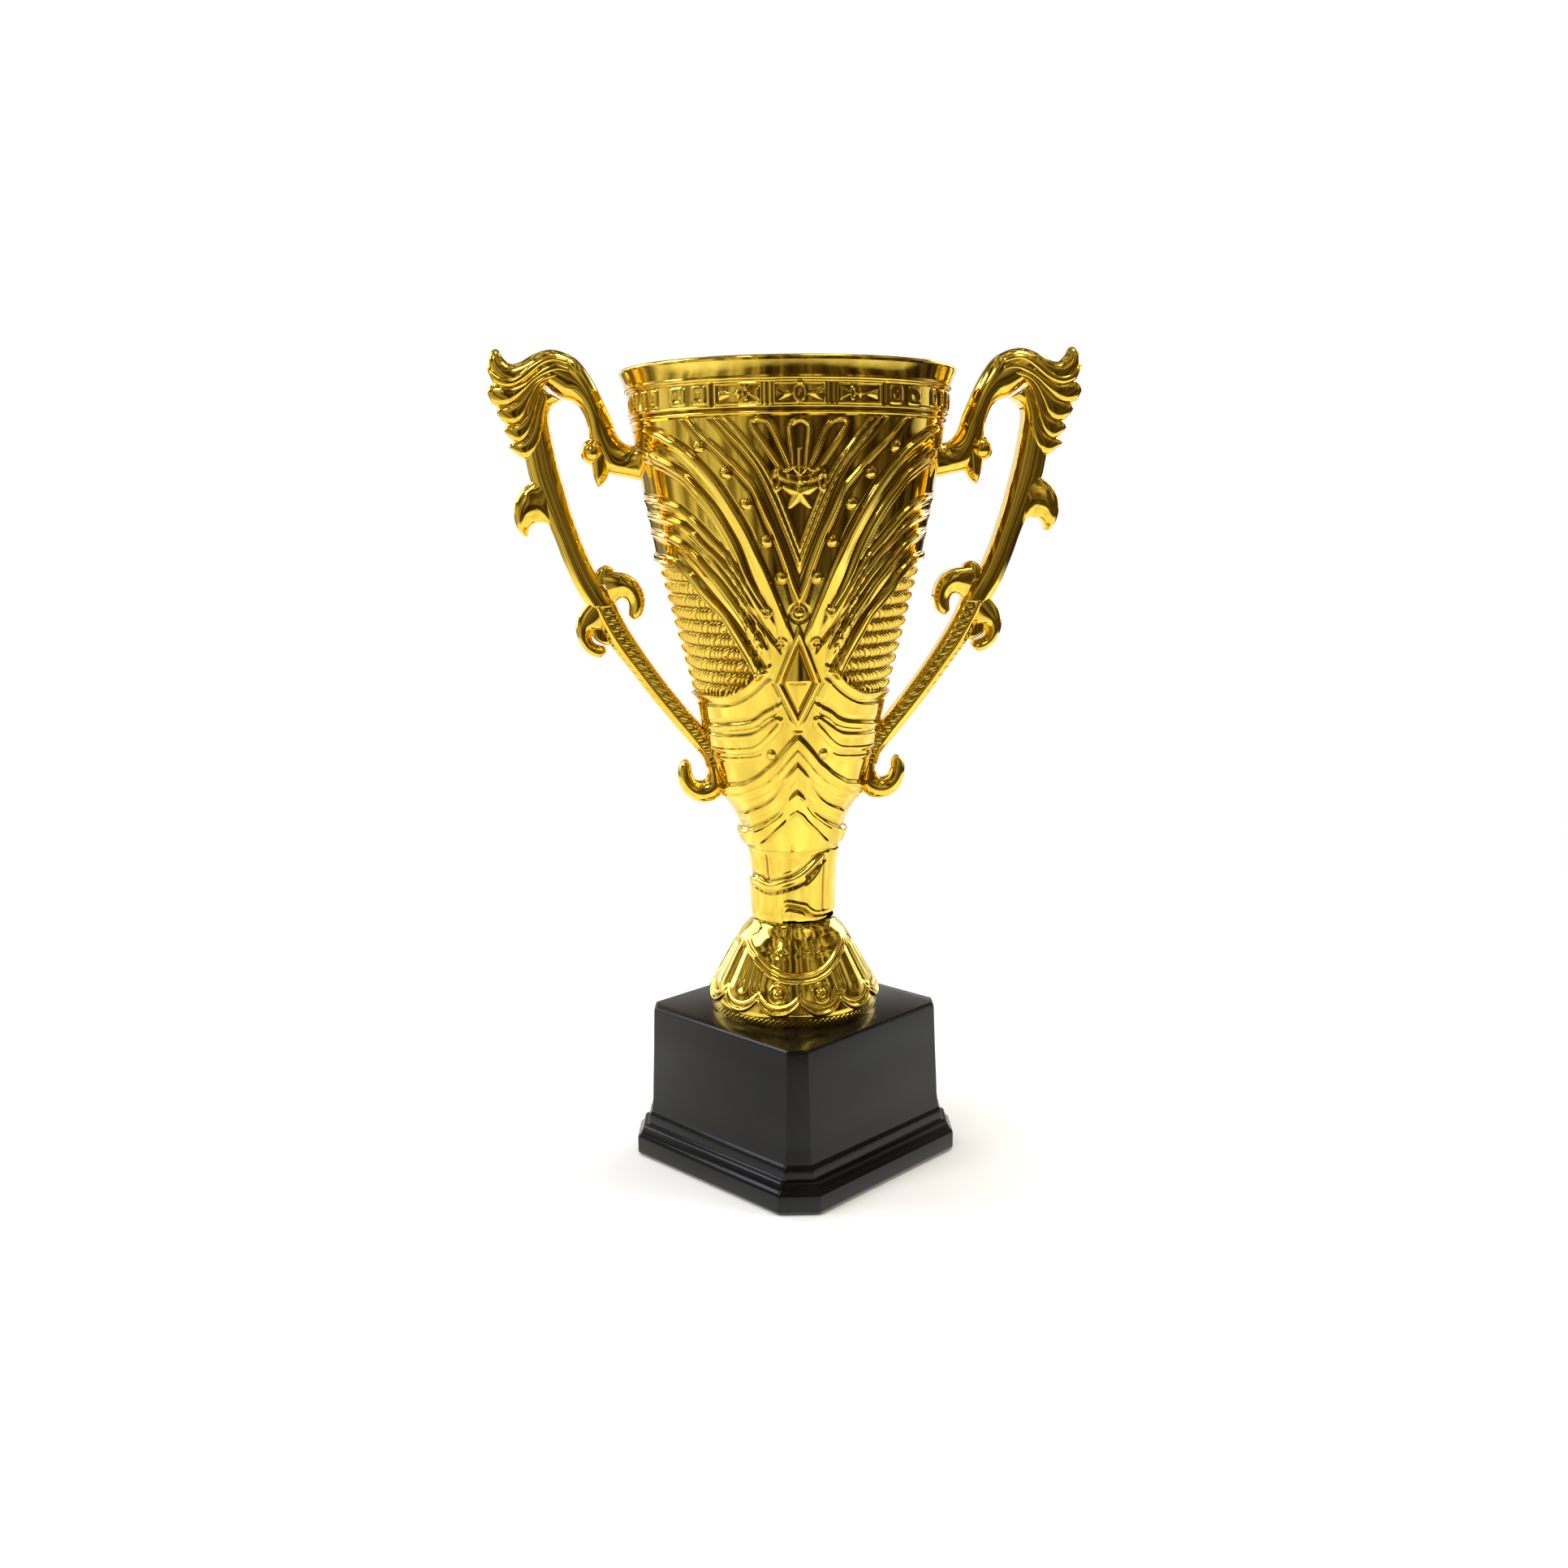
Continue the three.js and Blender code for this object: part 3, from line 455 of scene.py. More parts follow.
def knurled_rows(angle, height, radius):
    """Rows of twisted rope, from 1.5 mm deep in their troughs up to the plain wall."""
    row = (height - rope_first) / rope_pitch
    crest = 1 - (2 * (row - np.floor(row)) - 1) ** 2
    along = angle * math.pi / 180 * radius
    index = np.floor(row)
    swing = 0.8 * np.sin(along * 0.77 + index * 2.7 + 1)
    twist = np.abs(np.sin(math.pi * (along / 2.0 + 0.37 * index + 0.6 * (row - index)) + swing)) ** 1.1
    return 1.55 * crest**0.75 * (0.2 + 0.8 * twist) - 1.5


def diamond_relief(across, height):
    """The faceted diamond: the height of its rim and facets, and how far a spot is outside its edge."""
    up = height - diamond_middle
    reach = np.where(up > 0, diamond_top - diamond_middle, diamond_middle - diamond_bottom)
    share = np.abs(across) / diamond_half + np.abs(up) / reach
    lean = 1 / np.hypot(1 / diamond_half, 1 / reach)
    out = (share - 1) * lean
    rim = 0.8 * bead(out + 0.2, 1.0) - 0.25 * bead(out + 1.5, 0.8)
    above = ease(up, -0.8, 0.8)
    peak = above * upper_facet + (1 - above) * lower_facet
    return rim, peak * np.clip(1 - share, 0, 1) * ease(-out, 1.0, 2.2), out


def emblem_relief(across, height):
    """A small five-pointed star under a curved ribbon, with three long loops above it."""
    raised = np.zeros(across.shape)
    here = (np.abs(across) < 16) & (height > 219) & (height < 249)
    x, z = across[here], height[here]
    star = []
    for k in range(10):
        reach = 5.3 if k % 2 == 0 else 2.15
        star.append((reach * math.sin(k * math.pi / 5), 226.3 + reach * math.cos(k * math.pi / 5)))
    away, inside = outline_distance(x, z, star)
    facets = 0.35 + 1.15 * np.clip(away / 1.9, 0, 1)
    here_raised = np.where(inside, facets, 0.35 * (1 - ease(away, 0, 0.35)))
    middle_loop = rounded_outline([
        (0, 233.2), (-1.8, 234), (-2.2, 238), (-2.8, 243), (-2.6, 245.8),
        (0, 247.2), (2.6, 245.8), (2.8, 243), (2.2, 238), (1.8, 234),
    ])
    side_loop = rounded_outline([
        (4.0, 232.6), (2.9, 233.6), (5.2, 239), (8.1, 245.0), (10, 247.0),
        (13.2, 247.3), (14.1, 246.0), (12.6, 243.2), (8.6, 237.6), (5.5, 233.4),
    ])
    for loop, side_x in ((middle_loop, x), (side_loop, x), (side_loop, -x)):
        away, inside = outline_distance(side_x, z, loop)
        loop_raised = 1.0 * bead(away, 0.8) - np.where(inside, 0.15, 0) * (away > 0.8)
        here_raised = np.maximum(here_raised, loop_raised)
    inner_bar = np.maximum(np.abs(x) - 0.2, np.maximum(z - 238.6, 234 - z))
    here_raised = np.maximum(here_raised, 0.7 * (1 - ease(inner_bar, 0, 0.7)))
    ribbon_foot = 228.9 + 0.052 * x**2
    ribbon = (z - ribbon_foot) / np.hypot(1, 0.104 * x)
    folds = 0.22 * np.sin(x * 1.9 + 0.5)
    ribbon_height = between(ribbon, -0.2, 2.3, 0.3) * (1 - ease(np.abs(x), 6.6, 7.2)) * (0.95 + folds)
    ribbon_height += 0.45 * bead(ribbon - 0.1, 0.55) * (np.abs(x) < 7)
    curl = np.abs(np.hypot((np.abs(x) - 7.0) / 0.95, (z - 229.6) / 2.5) - 1) * 1.1
    ribbon_height = np.maximum(ribbon_height, 1.0 * bead(curl, 0.6))
    pleat = np.abs(x) - (z - 230.6) * 0.9
    ribbon_height = np.maximum(ribbon_height, (1 - ease(pleat, -0.2, 0.5)) * between(z, 231, 233.8, 0.4)
                               * (1.2 + 0.25 * np.cos(x * 4.2)))
    here_raised = np.maximum(here_raised, ribbon_height)
    raised[here] = here_raised
    return raised


def v_lines(off, angle, height):
    """The double V in the middle and the bright one under it."""
    outer, inner, bright = off(inner_v_outer), off(inner_v_inner), off(outer_v)
    twist = 0.04 * np.sin(height * 2.73)
    v_end = ease(angle, -1, 0.5)
    raised = (0.75 + twist) * bead(outer + 0.3, 0.75) * v_end
    raised += (0.65 - twist) * bead(inner - 0.2, 0.7) * v_end
    raised += 0.3 * between(outer, -0.2, 1.6, 0.3) - 0.35 * bead(outer + 1.6, 0.9)
    return raised + 1.05 * bead(bright + 0.2, 1.05) - 0.25 * bead(bright + 1.7, 1.0)


def feather_bands(off, angle, height):
    """The long feather bands of the wings, with the grooves and fine ribs between them."""
    a, b, c, d, e, f = (off(line) for line in (line_a, line_b, line_c, line_d, line_e, line_f))
    sink = 1 - 0.65 * ease(angle, 56, 80)
    first_band = 0.95 * feather(a, 0.85, 3.8) + 0.18 * between(-a, -0.2, 4.2, 0.5)
    raised = first_band * ease(height, 178, 186) * sink
    for line, tall, sharp, fall, start, full in (
        (b, 1.0, 0.95, 3.6, 10, 14),
        (c, 0.85, 0.85, 2.8, 14, 17),
        (d, 0.95, 0.85, 2.6, 16, 20),
        (e, 1.0, 1.0, 3.6, 14, 17),
    ):
        raised += tall * feather(line, sharp, fall) * ease(angle, start, full) * sink
    for line in (a, b, c, d, e):
        crisp = bead(line + 0.8, 0.7) - bead(line - 0.95, 0.65)
        raised += 0.3 * crisp * ease(angle, 15, 19) * sink
    raised += 0.3 * bead(b + 2.6, 0.75) * between(angle, 14, 70, 2)
    raised += 0.25 * bead(c + 1.9, 0.7) * between(angle, 17, 70, 2)
    raised -= 0.9 * bead(off(deep_groove), 1.0) * ease(angle, 8, 9.5) * (1 - ease(angle, 34, 46))
    raised -= 0.7 * bead(off(border_groove), 0.9) * ease(angle, 14, 16) * (1 - ease(angle, 44, 60))
    raised += 1.05 * between(-f, -0.3, 2.2, 0.35) + 0.3 * bead(f + 1.9, 0.6)
    for number in range(4):
        show = between(angle, 13.5 + 1.2 * number, 33 - 2 * number, 1.2)
        raised += 0.4 * bead(b + 3.6 + 1.25 * number, 0.62) * show
    return raised


def lip_and_leaf(off, angle):
    """The lip under the knurled panels, and the ripples and long leaf below it."""
    lip, ripples, leaf_top, leaf_foot = off(lip_line), off(line_g), off(leaf_upper), off(leaf_lower)
    raised = (0.85 * feather(lip - 1.0, 1.3, 2.4) - 0.25 * bead(lip + 1.6, 0.9)) * ease(angle, 13, 17)
    side_fade = ease(angle, 9.0, 12)
    raised += (0.35 * bead(ripples + 1.0, 1.3) - 0.25 * bead(ripples - 0.7, 1.2)) * side_fade
    raised += 0.25 * bead(ripples + 2.7, 0.9) * side_fade * (1 - ease(angle, 40, 60))
    leaf = 0.3 * between(leaf_top, -30, 0, 0.7) * between(leaf_foot, 0, 30, 0.7)
    leaf += 0.22 * bead(leaf_top + 0.5, 1.1) + 0.22 * bead(leaf_foot - 0.4, 1.1)
    return raised + leaf * ease(angle, 8.5, 10.5) + 0.22 * bead(leaf_foot + 2.6, 1.0) * ease(angle, 20, 26)


def draped_chevrons(raised, off, angle, height, radius):
    """The relief so far, with chevrons draped over it down to a plain cone and the collar."""
    front = 1 - ease(angle, 44, 62)
    cone_foot_height, cone_foot = wall_profile[0]
    front_line = cone_foot + cone_lean * (height - cone_foot_height)
    second, third, collar = off(chevron_2), off(chevron_3), off(collar_edge)
    raised = raised + np.clip(front_line - radius, 0, 9) * front * (1 - ease(height, 126, 131))
    raised += 0.85 * feather(off(chevron_1) + 0.5, 1.9, 4.5)
    raised += 0.55 * feather(second + 0.4, 1.4, 3.4)
    raised += 0.25 * feather(second + 2.6, 0.8, 2.4) * (1 - ease(angle, 40, 60))
    raised += 0.72 * feather(third + 0.5, 1.6, 4.0) + 0.22 * feather(third + 3.0, 0.8, 2.2)
    raised += 1.0 * feather(off(chevron_4) + 1.5, 1.9, 5.0)
    collar_share = 0.2 + 0.8 * ease(angle, 40, 62)
    raised += 1.3 * ease(collar, -0.5, 0.5) * (1 - ease(collar, 3.0, 9.5)) * collar_share
    crest = level_on(chevron_4, angle) - 1.6
    crest_radius = cone_foot + cone_lean * (crest - cone_foot_height) + 0.95
    cone_share = (height - cone_foot_height) / (crest - cone_foot_height)
    cone = cone_foot + cone_share * (crest_radius - cone_foot) - radius
    under = (1 - ease(height - crest, -0.9, 0.3)) * front
    raised = raised * (1 - under) + cone * under
    return raised - 0.25 * bead(collar + 0.2, 0.9) * (1 - ease(angle, 40, 55)) * ease(height, 111, 113)


def wall_relief(theta, height, radius):
    """Height of the moulded pattern over the plain wall, in millimetres."""
    angle = np.abs(theta)
    arc = math.pi / 180 * radius
    across = theta * arc

    def off(line):
        return clearance_from(line, angle, height, radius)

    def away_from(place, level):
        return np.hypot((angle - place) * arc, height - level)

    lip = off(lip_line)
    raised = v_lines(off, angle, height) + feather_bands(off, angle, height) * ease(lip, 0, 0.6)
    raised += 0.7 * bead(away_from(14.2, 190.5) - 1.1, 0.6)
    raised += 0.6 * bead(away_from(8.2, 180.8) - 1.3, 0.7)

    # The knurled panels are set back behind their border.
    panel = ease(-off(line_f), 2.1, 2.7) * ease(lip, 0.9, 1.5)
    raised = raised * (1 - panel) + (knurled_rows(angle, height, radius) - 0.15) * panel
    raised += lip_and_leaf(off, angle)
    raised += 0.9 * dome(np.hypot((angle - 17) * arc, (height - 144.4) * 0.8), 1.3)
    raised = draped_chevrons(raised, off, angle, height, radius)

    # The diamond, a plain band beside its lower edges and a dash under it.
    rim, facets, out = diamond_relief(across, height)
    raised = raised * ease(out, 0.2, 1.0) + rim + facets
    raised += 0.15 * between(out, 1.6, 4.2, 0.35) * (1 - ease(height, 167, 170)) * ease(height, 153, 156)
    raised += 0.5 * between(across, -1.2, 1.2, 0.3) * bead(height - 151.8, 0.6)

    # Studs, and the ringed one in its pool over the diamond.
    for place, level in stud_places:
        raised += 1.15 * dome(away_from(place, level), stud_radius)
    apart = np.hypot(across, height - ringed_stud_height)
    raised += 0.7 * bead(apart - 2.0, 0.55) + 1.0 * dome(apart, 1.4) - 0.3 * (1 - ease(apart, 2.6, 3.6))

    # The emblem lies over the lines, and the wall is plain behind the handles and at its top.
    emblem = emblem_relief(across, height)
    raised = np.where(emblem > 0, np.maximum(raised, emblem), raised)
    held = between(height, 126, 158, 2) + between(height, 229, 246, 2)
    behind_handle = ease(angle, 82, 87) * held
    return raised * (1 - behind_handle) * (1 - ease(height, 248.0, 248.6))


def bump(tree, height, strength, distance, inputs=()):
    """A bump from a height."""
    inputs = {"Height": height, "Strength": strength, "Distance": distance, **dict(inputs)}
    return add(tree, "Bump", inputs).outputs["Normal"]


gold = bpy.data.materials.new("gold_plating")
gold.use_nodes = True
tree = gold.node_tree
spot = add(tree, "TexCoord").outputs["Object"]
cloud = noise(tree, spot, 35, 3)
tint = ramp(tree, cloud, (0.3, (0.88, 0.61, 0.07)), (0.7, (0.96, 0.7, 0.105)))
# Painted shade: creases, found by low pointiness, are mixed towards dark brown in the base colour, standing
# in for the shade that falls in them.
pointed = add(tree, "NewGeometry").outputs["Pointiness"]
painted_crease_shade = mix(tree, map_range(tree, pointed, (0.42, 0.49)), (0.45, 0.22, 0.016, 1), tint)
# Painted shade: the relief's hollows, read from the "hollow" attribute, are mixed towards a darker brown in
# the base colour.
painted_hollow_shade = tree.nodes.new("ShaderNodeAttribute")
painted_hollow_shade.attribute_name = "hollow"
ripple = bump(tree, noise(tree, spot, 220, 2), 0.03, 0.001)
feed(tree.nodes["Principled BSDF"], {
    "Base Color": mix(tree, painted_hollow_shade.outputs["Fac"], painted_crease_shade, (0.3, 0.17, 0.02, 1)),
    "Metallic": 1,
    "Roughness": map_range(tree, cloud, (0, 1), (0.05, 0.12)),
    "Coat Weight": 0.12,
    "Coat Roughness": 0.03,
    "Normal": bump(tree, noise(tree, spot, 75, 1), 0.1, 0.0012, {"Normal": ripple}),
})


def finished_piece(name, shape, material, slot, *replaced):
    """Makes a smooth-shaded piece of a bmesh, and ties it to the model."""
    mesh = bpy.data.meshes.new(name)
    shape.to_mesh(mesh)
    shape.free()
    mesh.materials.append(material)
    mesh.shade_smooth()
    piece = bpy.data.objects.new(name, mesh)
    scene.collection.objects.link(piece)
    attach(piece, "root")
    if replaced:
        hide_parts(*replaced)
    return piece


def averaged(levels, reach):
    """Each level of a grid averaged over its neighbours along the columns, the edges repeated."""
    padded = np.pad(levels, ((reach, reach), (0, 0)), mode="edge")
    return sum(padded[k:k + len(levels)] for k in range(2 * reach + 1)) / (2 * reach + 1)


def bent_grid(columns, rows, place):
    """A grid whose two shares are bent to a place by a function on arrays, with its hollows marked for
    painted shade.
    """
    shape = bmesh.new()
    bmesh.ops.create_grid(shape, x_segments=columns, y_segments=rows, size=0.5)
    shares = np.array([corner.co[:2] for corner in shape.verts]) + 0.5
    points = np.column_stack(place(shares[:, 0], shares[:, 1])) * MM
    column = np.rint(shares[:, 0] * columns).astype(int)
    row = np.rint(shares[:, 1] * rows).astype(int)
    # Painted shade: each point's depth below its neighbours' average is stored as the "hollow" attribute,
    # which the gold colour mixes towards dark brown.
    depth = np.zeros((rows + 1, columns + 1))
    depth[row, column] = np.hypot(points[:, 0], points[:, 1]) / MM
    spread = averaged(averaged(depth, 5).T, 4).T
    hollow = np.clip((spread - depth - painted_shade_start) / painted_shade_span, 0, 1)[row, column]
    layer = shape.verts.layers.float.new("hollow")
    for corner, point, deep in zip(shape.verts, points, hollow):
        corner.co = point
        corner[layer] = painted_shade_most * deep
    return shape


def around(theta, radius, height):
    """Points at an angle from the front of the cup, in degrees, anticlockwise from above."""
    turn = np.radians(theta)
    return radius * np.sin(turn), -radius * np.cos(turn), height


wall_curve = smooth_line(wall_profile, 600)
wall_levels = (109.8, 161.0, 207.0, 248.6)


def wall_band(middle, low, high, columns, rows):
    """A band of half the wall, centred on an angle: 0 for the front and 180 for the back."""

    def place(u, v):
        theta = (u * 2 - 1) * mould_seam
        height = low + v * (high - low)
        radius = level_on(wall_curve, height)
        return around(theta + middle, radius + wall_relief(theta, height, radius), height)

    return bent_grid(columns, rows, place)


for number, level_name in enumerate(("lower", "middle", "upper")):
    low, high = wall_levels[number:number + 2]
    replaced = ["cup_bowl"] if number == 0 else []
    front = wall_band(0, low, high, 400, 245)
    back = wall_band(180, low, high, 320, 160)
    finished_piece("bowl_front_" + level_name, front, gold, "gold_plating", *replaced)
    finished_piece("bowl_back_" + level_name, back, gold, "gold_plating")


# ---- Frieze of the bowl ----
# The band of framed panels under the rim, part of the same gold-plated moulding. Its panels hold a ring,
# stars and wedges, and plain rounded blocks run round the sides to the handles.

frieze_profile = [
    (248.4, 50.45), (249.2, 50.9), (250.3, 51.1), (251.2, 51.5), (252.2, 51.75), (255, 51.85),
    (257.4, 51.85), (258.2, 51.9), (258.7, 52.1),
]
frieze_middle = 254.75
panel_half_height = 3.3
sunk = 0.4
block_places = [
    (34.6, 2.6, 0.7), (43.6, 3.3, 0.7), (55.2, 1.9, 0.9), (62.2, 1.8, 0.9), (69.5, 1.9, 0.8),
    (77, 1.8, 0.7),
]


def sunk_field(across, up, half_width, half_height):
    """A flat field pressed in between raised edges."""
    out = np.maximum(np.abs(across) - half_width, np.abs(up) - half_height)
    return 0.3 * bead(out - 0.1, 0.5) - sunk * ease(-out, -0.1, 0.35)


def frieze_relief(theta, height, radius):
    """Height of the frieze's ornaments, in millimetres."""
    angle = np.abs(theta)
    arc = math.pi / 180 * radius
    up = height - frieze_middle
    raised = 0.5 * bead(height - 249.3, 0.85) + 0.4 * bead(height - 251.1, 0.5)
    raised += 0.35 * bead(height - 258.35, 0.45) - 0.3 * bead(height - 250.35, 0.35)
    raised += sunk_field(angle * arc, up, 7.3, 2.75)
    ring = np.hypot(angle * arc / 1.7, up / 2.6)
    ringed = 0.95 * bead((ring - 0.95) * 2.0, 0.62) + 0.5 * np.clip(1 - ring * 1.7, 0, 1)
    raised += np.where(angle < 6, ringed, 0)
    from_ring = angle * arc - 2.3
    wing = 1 - np.abs(up + 0.25) / (0.35 + 0.42 * np.clip(from_ring, 0, 9))
    raised += 0.6 * np.clip(wing, 0, 1) ** 0.8 * between(from_ring, 0, 4.7, 0.2)
    for post in (9.4, 11.3):
        raised += 0.3 * bead((angle - post) * arc, 0.65) * between(up, -3.2, 3.2, 0.3)
    side = (angle - 20.4) * arc
    raised += sunk_field(side, up, 6.9, 2.75)
    star = np.sqrt(np.abs(side)) + np.sqrt(np.abs(up + 0.1))
    raised += 1.0 * (1 - ease(star, 0.7, 1.75)) * (np.abs(side) < 3)
    oval = np.hypot((side + 2.3) / 0.75, up / 1.9)
    raised += 0.6 * bead((oval - 0.85) * 1.1, 0.55) * (np.abs(side + 2.3) < 2)
    bow_start = -(side + 3.3)
    bow = 1 - np.abs(up) / (0.45 + 0.7 * np.clip(bow_start, 0, 9))
    raised += 0.65 * ease(bow, 0, 0.5) * between(bow_start, 0, 3.1, 0.2)
    tip = 1 - np.abs(up + 0.2) / (0.3 + 0.32 * np.clip(side - 2.2, 0, 9))
    raised += 0.55 * np.clip(tip, 0, 1) ** 0.8 * between(side, 2.4, 6.2, 0.2)
    raised -= 0.7 * bead((angle - 29.7) * arc, 0.75) * between(up, -3.6, 3.4, 0.3)
    for place, half, tall in block_places:
        sideways = np.abs((angle - place) * arc) / half
        upright = np.abs(up) / (panel_half_height * 0.86)
        block = np.clip(1 - sideways**5 - upright**5, 0, 1) ** 0.45
        hollow = np.clip(1 - (sideways / 0.62) ** 2 - ((up + 0.3) / 1.5) ** 2, 0, 1)
        raised += 0.75 * tall * block - 0.35 * hollow
    return raised * (1 - ease(angle, 84, 88))


frieze_curve = smooth_line(frieze_profile, 200)


def frieze_half(middle):
    """Half of the frieze, centred on an angle, with the same seam as the wall."""

    def place(u, v):
        theta = (u * 2 - 1) * mould_seam
        height = frieze_profile[0][0] + v * (frieze_profile[-1][0] - frieze_profile[0][0])
        radius = level_on(frieze_curve, height)
        return around(theta + middle, radius + frieze_relief(theta, height, radius), height)

    return bent_grid(640, 76, place)


finished_piece("bowl_frieze_front", frieze_half(0), gold, "gold_plating")
finished_piece("bowl_frieze_back", frieze_half(180), gold, "gold_plating")


# ---- Rim and inside of the bowl ----
# The polished rim band with its two lips, rolled over into the smooth inside, down to the floor that the
# rod passes through. It is the bowl's own plated plastic, smooth because the mould's core is turned.

rim_outline = [
    (52.0, 258.55), (52.5, 258.62), (52.85, 258.95), (52.9, 259.4), (52.7, 259.75), (52.72, 260.0),
    (53.0, 260.9), (53.4, 262.0), (53.85, 263.1), (54.2, 263.9), (54.4, 264.35), (54.42, 264.7),
    (54.28, 265.05), (54.0, 265.33), (53.6, 265.45), (53.1, 265.45), (52.6, 265.3), (52.2, 264.95),
    (51.95, 264.4), (51.6, 263), (51.0, 260), (49.0, 252), (48.3, 245), (46.5, 232), (43.6, 217),
    (40.9, 203), (36.6, 185), (32.3, 168), (28.2, 152), (24.6, 138), (21.8, 130), (19.2, 125.5),
    (16.0, 122.2), (13.6, 120.5), (11.5, 120.0), (8.0, 119.95), (3.4, 119.95),
]
turning_steps = 256


def turned_piece(outline):
    """A body of revolution from an outline of radii and heights."""
    shape = bmesh.new()
    corners = [shape.verts.new((radius * MM, 0, height * MM)) for radius, height in outline]
    edges = [shape.edges.new(pair) for pair in zip(corners, corners[1:])]
    bmesh.ops.spin(shape, geom=corners + edges, cent=(0, 0, 0), axis=(0, 0, 1), angle=2 * math.pi,
                   steps=turning_steps, use_merge=True)
    bmesh.ops.remove_doubles(shape, verts=shape.verts, dist=1e-7)
    bmesh.ops.recalc_face_normals(shape, faces=shape.faces)
    return shape


def face_outwards(shape, spot, outward):
    """Turns the faces over if the one nearest a spot doesn't point the given way."""
    nearest = min(shape.faces, key=lambda face: (face.calc_center_median() - Vector(spot)).length)
    nearest.normal_update()
    if nearest.normal.dot(Vector(outward)) < 0:
        bmesh.ops.reverse_faces(shape, faces=shape.faces)
    return shape


rim_shape = face_outwards(turned_piece(rim_outline), (0.0542, 0, 0.264), (1, 0, 0))
finished_piece("bowl_rim_and_inside", rim_shape, gold, "gold_plating")


# ---- Handles ----
# Two moulded scroll handles, plated like the bowl and screwed on from inside it. Each is a run of bars
# between an outer and an inner edge, with hooks, a head of overlapping leaf strands and a bottom scroll.

bar_section = [
    (1, 0), (1, 0.5), (0.985, 0.66), (0.94, 0.74), (0.78, 0.94), (0.72, 0.985), (0.62, 1.0), (0.58, 0.955),
    (0.54, 1.0), (0.46, 1.0), (0.42, 0.955), (0.38, 1.0), (0.28, 0.985), (0.22, 0.94), (0.06, 0.74),
    (0.015, 0.66), (0, 0.5),
]
plain_section = [
    (1, 0), (1, 0.55), (0.985, 0.68), (0.93, 0.8), (0.82, 0.93), (0.68, 0.99), (0.5, 1.0), (0.32, 0.99),
    (0.18, 0.93), (0.07, 0.8), (0.015, 0.68), (0, 0.55),
]
strand_section = [
    (1, 0), (1, 0.66), (0.95, 0.8), (0.86, 0.91), (0.7, 0.985), (0.55, 1.0), (0.4, 0.98), (0.25, 0.92),
    (0.12, 0.83), (0.03, 0.7), (0, 0.6),
]
hook_section = [
    (1, 0), (1, 0.6), (0.97, 0.74), (0.9, 0.86), (0.78, 0.96), (0.66, 1.0), (0.52, 0.995), (0.44, 0.96),
    (0.3, 0.85), (0.15, 0.73), (0.04, 0.63), (0, 0.52),
]
rail_section = [
    (1, 0), (1, 0.4), (0.96, 0.56), (0.85, 0.66), (0.6, 0.8), (0.35, 0.93), (0.2, 0.99), (0.1, 1.0),
    (0.02, 0.96), (0, 0.85),
]
round_section = [(0.5 + 0.5 * math.cos(math.radians(turn)), math.sin(math.radians(turn)) ** 0.8)
                 for turn in range(0, 180, 12)] + [(0, 0.02)]


def through(points, fine):
    """Points on a smooth curve through the given ones, at shares from 0 to 1."""
    points = np.array(points, float)
    padded = np.vstack([2 * points[0] - points[1], points, 2 * points[-1] - points[-2]])
    place = np.clip(fine, 0, 1) * (len(points) - 1)
    k = np.minimum(place.astype(int), len(points) - 2)
    return spline(padded[k], padded[k + 1], padded[k + 2], padded[k + 3], (place - k)[:, None])


def add_bar(shape, stations, section, steps, beaded=0.0):
    """A bar through stations of outer edge x, z, inner edge x, z and half depth, with a closed section."""
    back = [(u, -y) for u, y in reversed(section[1:])]
    ring = np.array(section + back + section[:1], float)
    lengths = np.concatenate([[0], np.cumsum(np.hypot(*np.diff(ring, axis=0).T))])
    corners = (len(section) * 2 - 1) * 2
    made = bmesh.ops.create_grid(shape, x_segments=steps, y_segments=corners, size=0.5)["verts"]
    shares = np.array([corner.co[:2] for corner in made]) + 0.5
    spot = through(stations, shares[:, 0])
    at = shares[:, 1] * lengths[-1]
    across = np.interp(at, lengths, ring[:, 0])
    depth = np.interp(at, lengths, ring[:, 1])
    outer, inner, half = spot[:, 0:2], spot[:, 2:4], spot[:, 4]
    if beaded:
        length = shares[:, 0] * np.hypot(*(np.array(stations[0][:2]) - np.array(stations[-1][:2])))
        lumps = np.sin(length * 3.6) * np.cos((across - 0.5) * 9 + length * 1.3)
        half = half + beaded * lumps * (np.abs(depth) > 0.6)
    x_z = inner + across[:, None] * (outer - inner)
    y = half * depth
    ends = (shares[:, 0] < 1e-6) | (shares[:, 0] > 1 - 1e-6)
    middle = (outer + inner) / 2
    x_z[ends] = middle[ends]
    y[ends] = 0
    for corner, flat, deep in zip(made, x_z, y):
        corner.co = (flat[0] * MM, deep * MM, flat[1] * MM)


arch = [
    (47.6, 242.4, 47.6, 231.2, 5.2), (52.4, 243.0, 52.6, 232.5, 4.4), (55.4, 246.0, 59.4, 234.6, 4.6),
    (57.2, 251.3, 63.8, 243.0, 5.0), (59.1, 255.7, 64.9, 249.2, 5.5), (62.0, 262.0, 66.7, 253.9, 5.8),
    (66.4, 268.6, 69.2, 256.3, 5.9), (71.0, 271.6, 71.9, 257.2, 5.9), (76.1, 272.7, 75.4, 259.5, 5.8),
    (81.0, 271.3, 79.6, 263.0, 5.6), (85.0, 269.1, 83.6, 262.6, 5.4), (88.4, 268.3, 87.6, 261.0, 5.2),
    (90.8, 270.2, 92.4, 261.2, 4.8), (92.2, 272.6, 95.3, 264.6, 4.2), (93.6, 272.8, 95.7, 268.6, 3.0),
    (94.6, 271.8, 95.4, 270.4, 1.6),
]
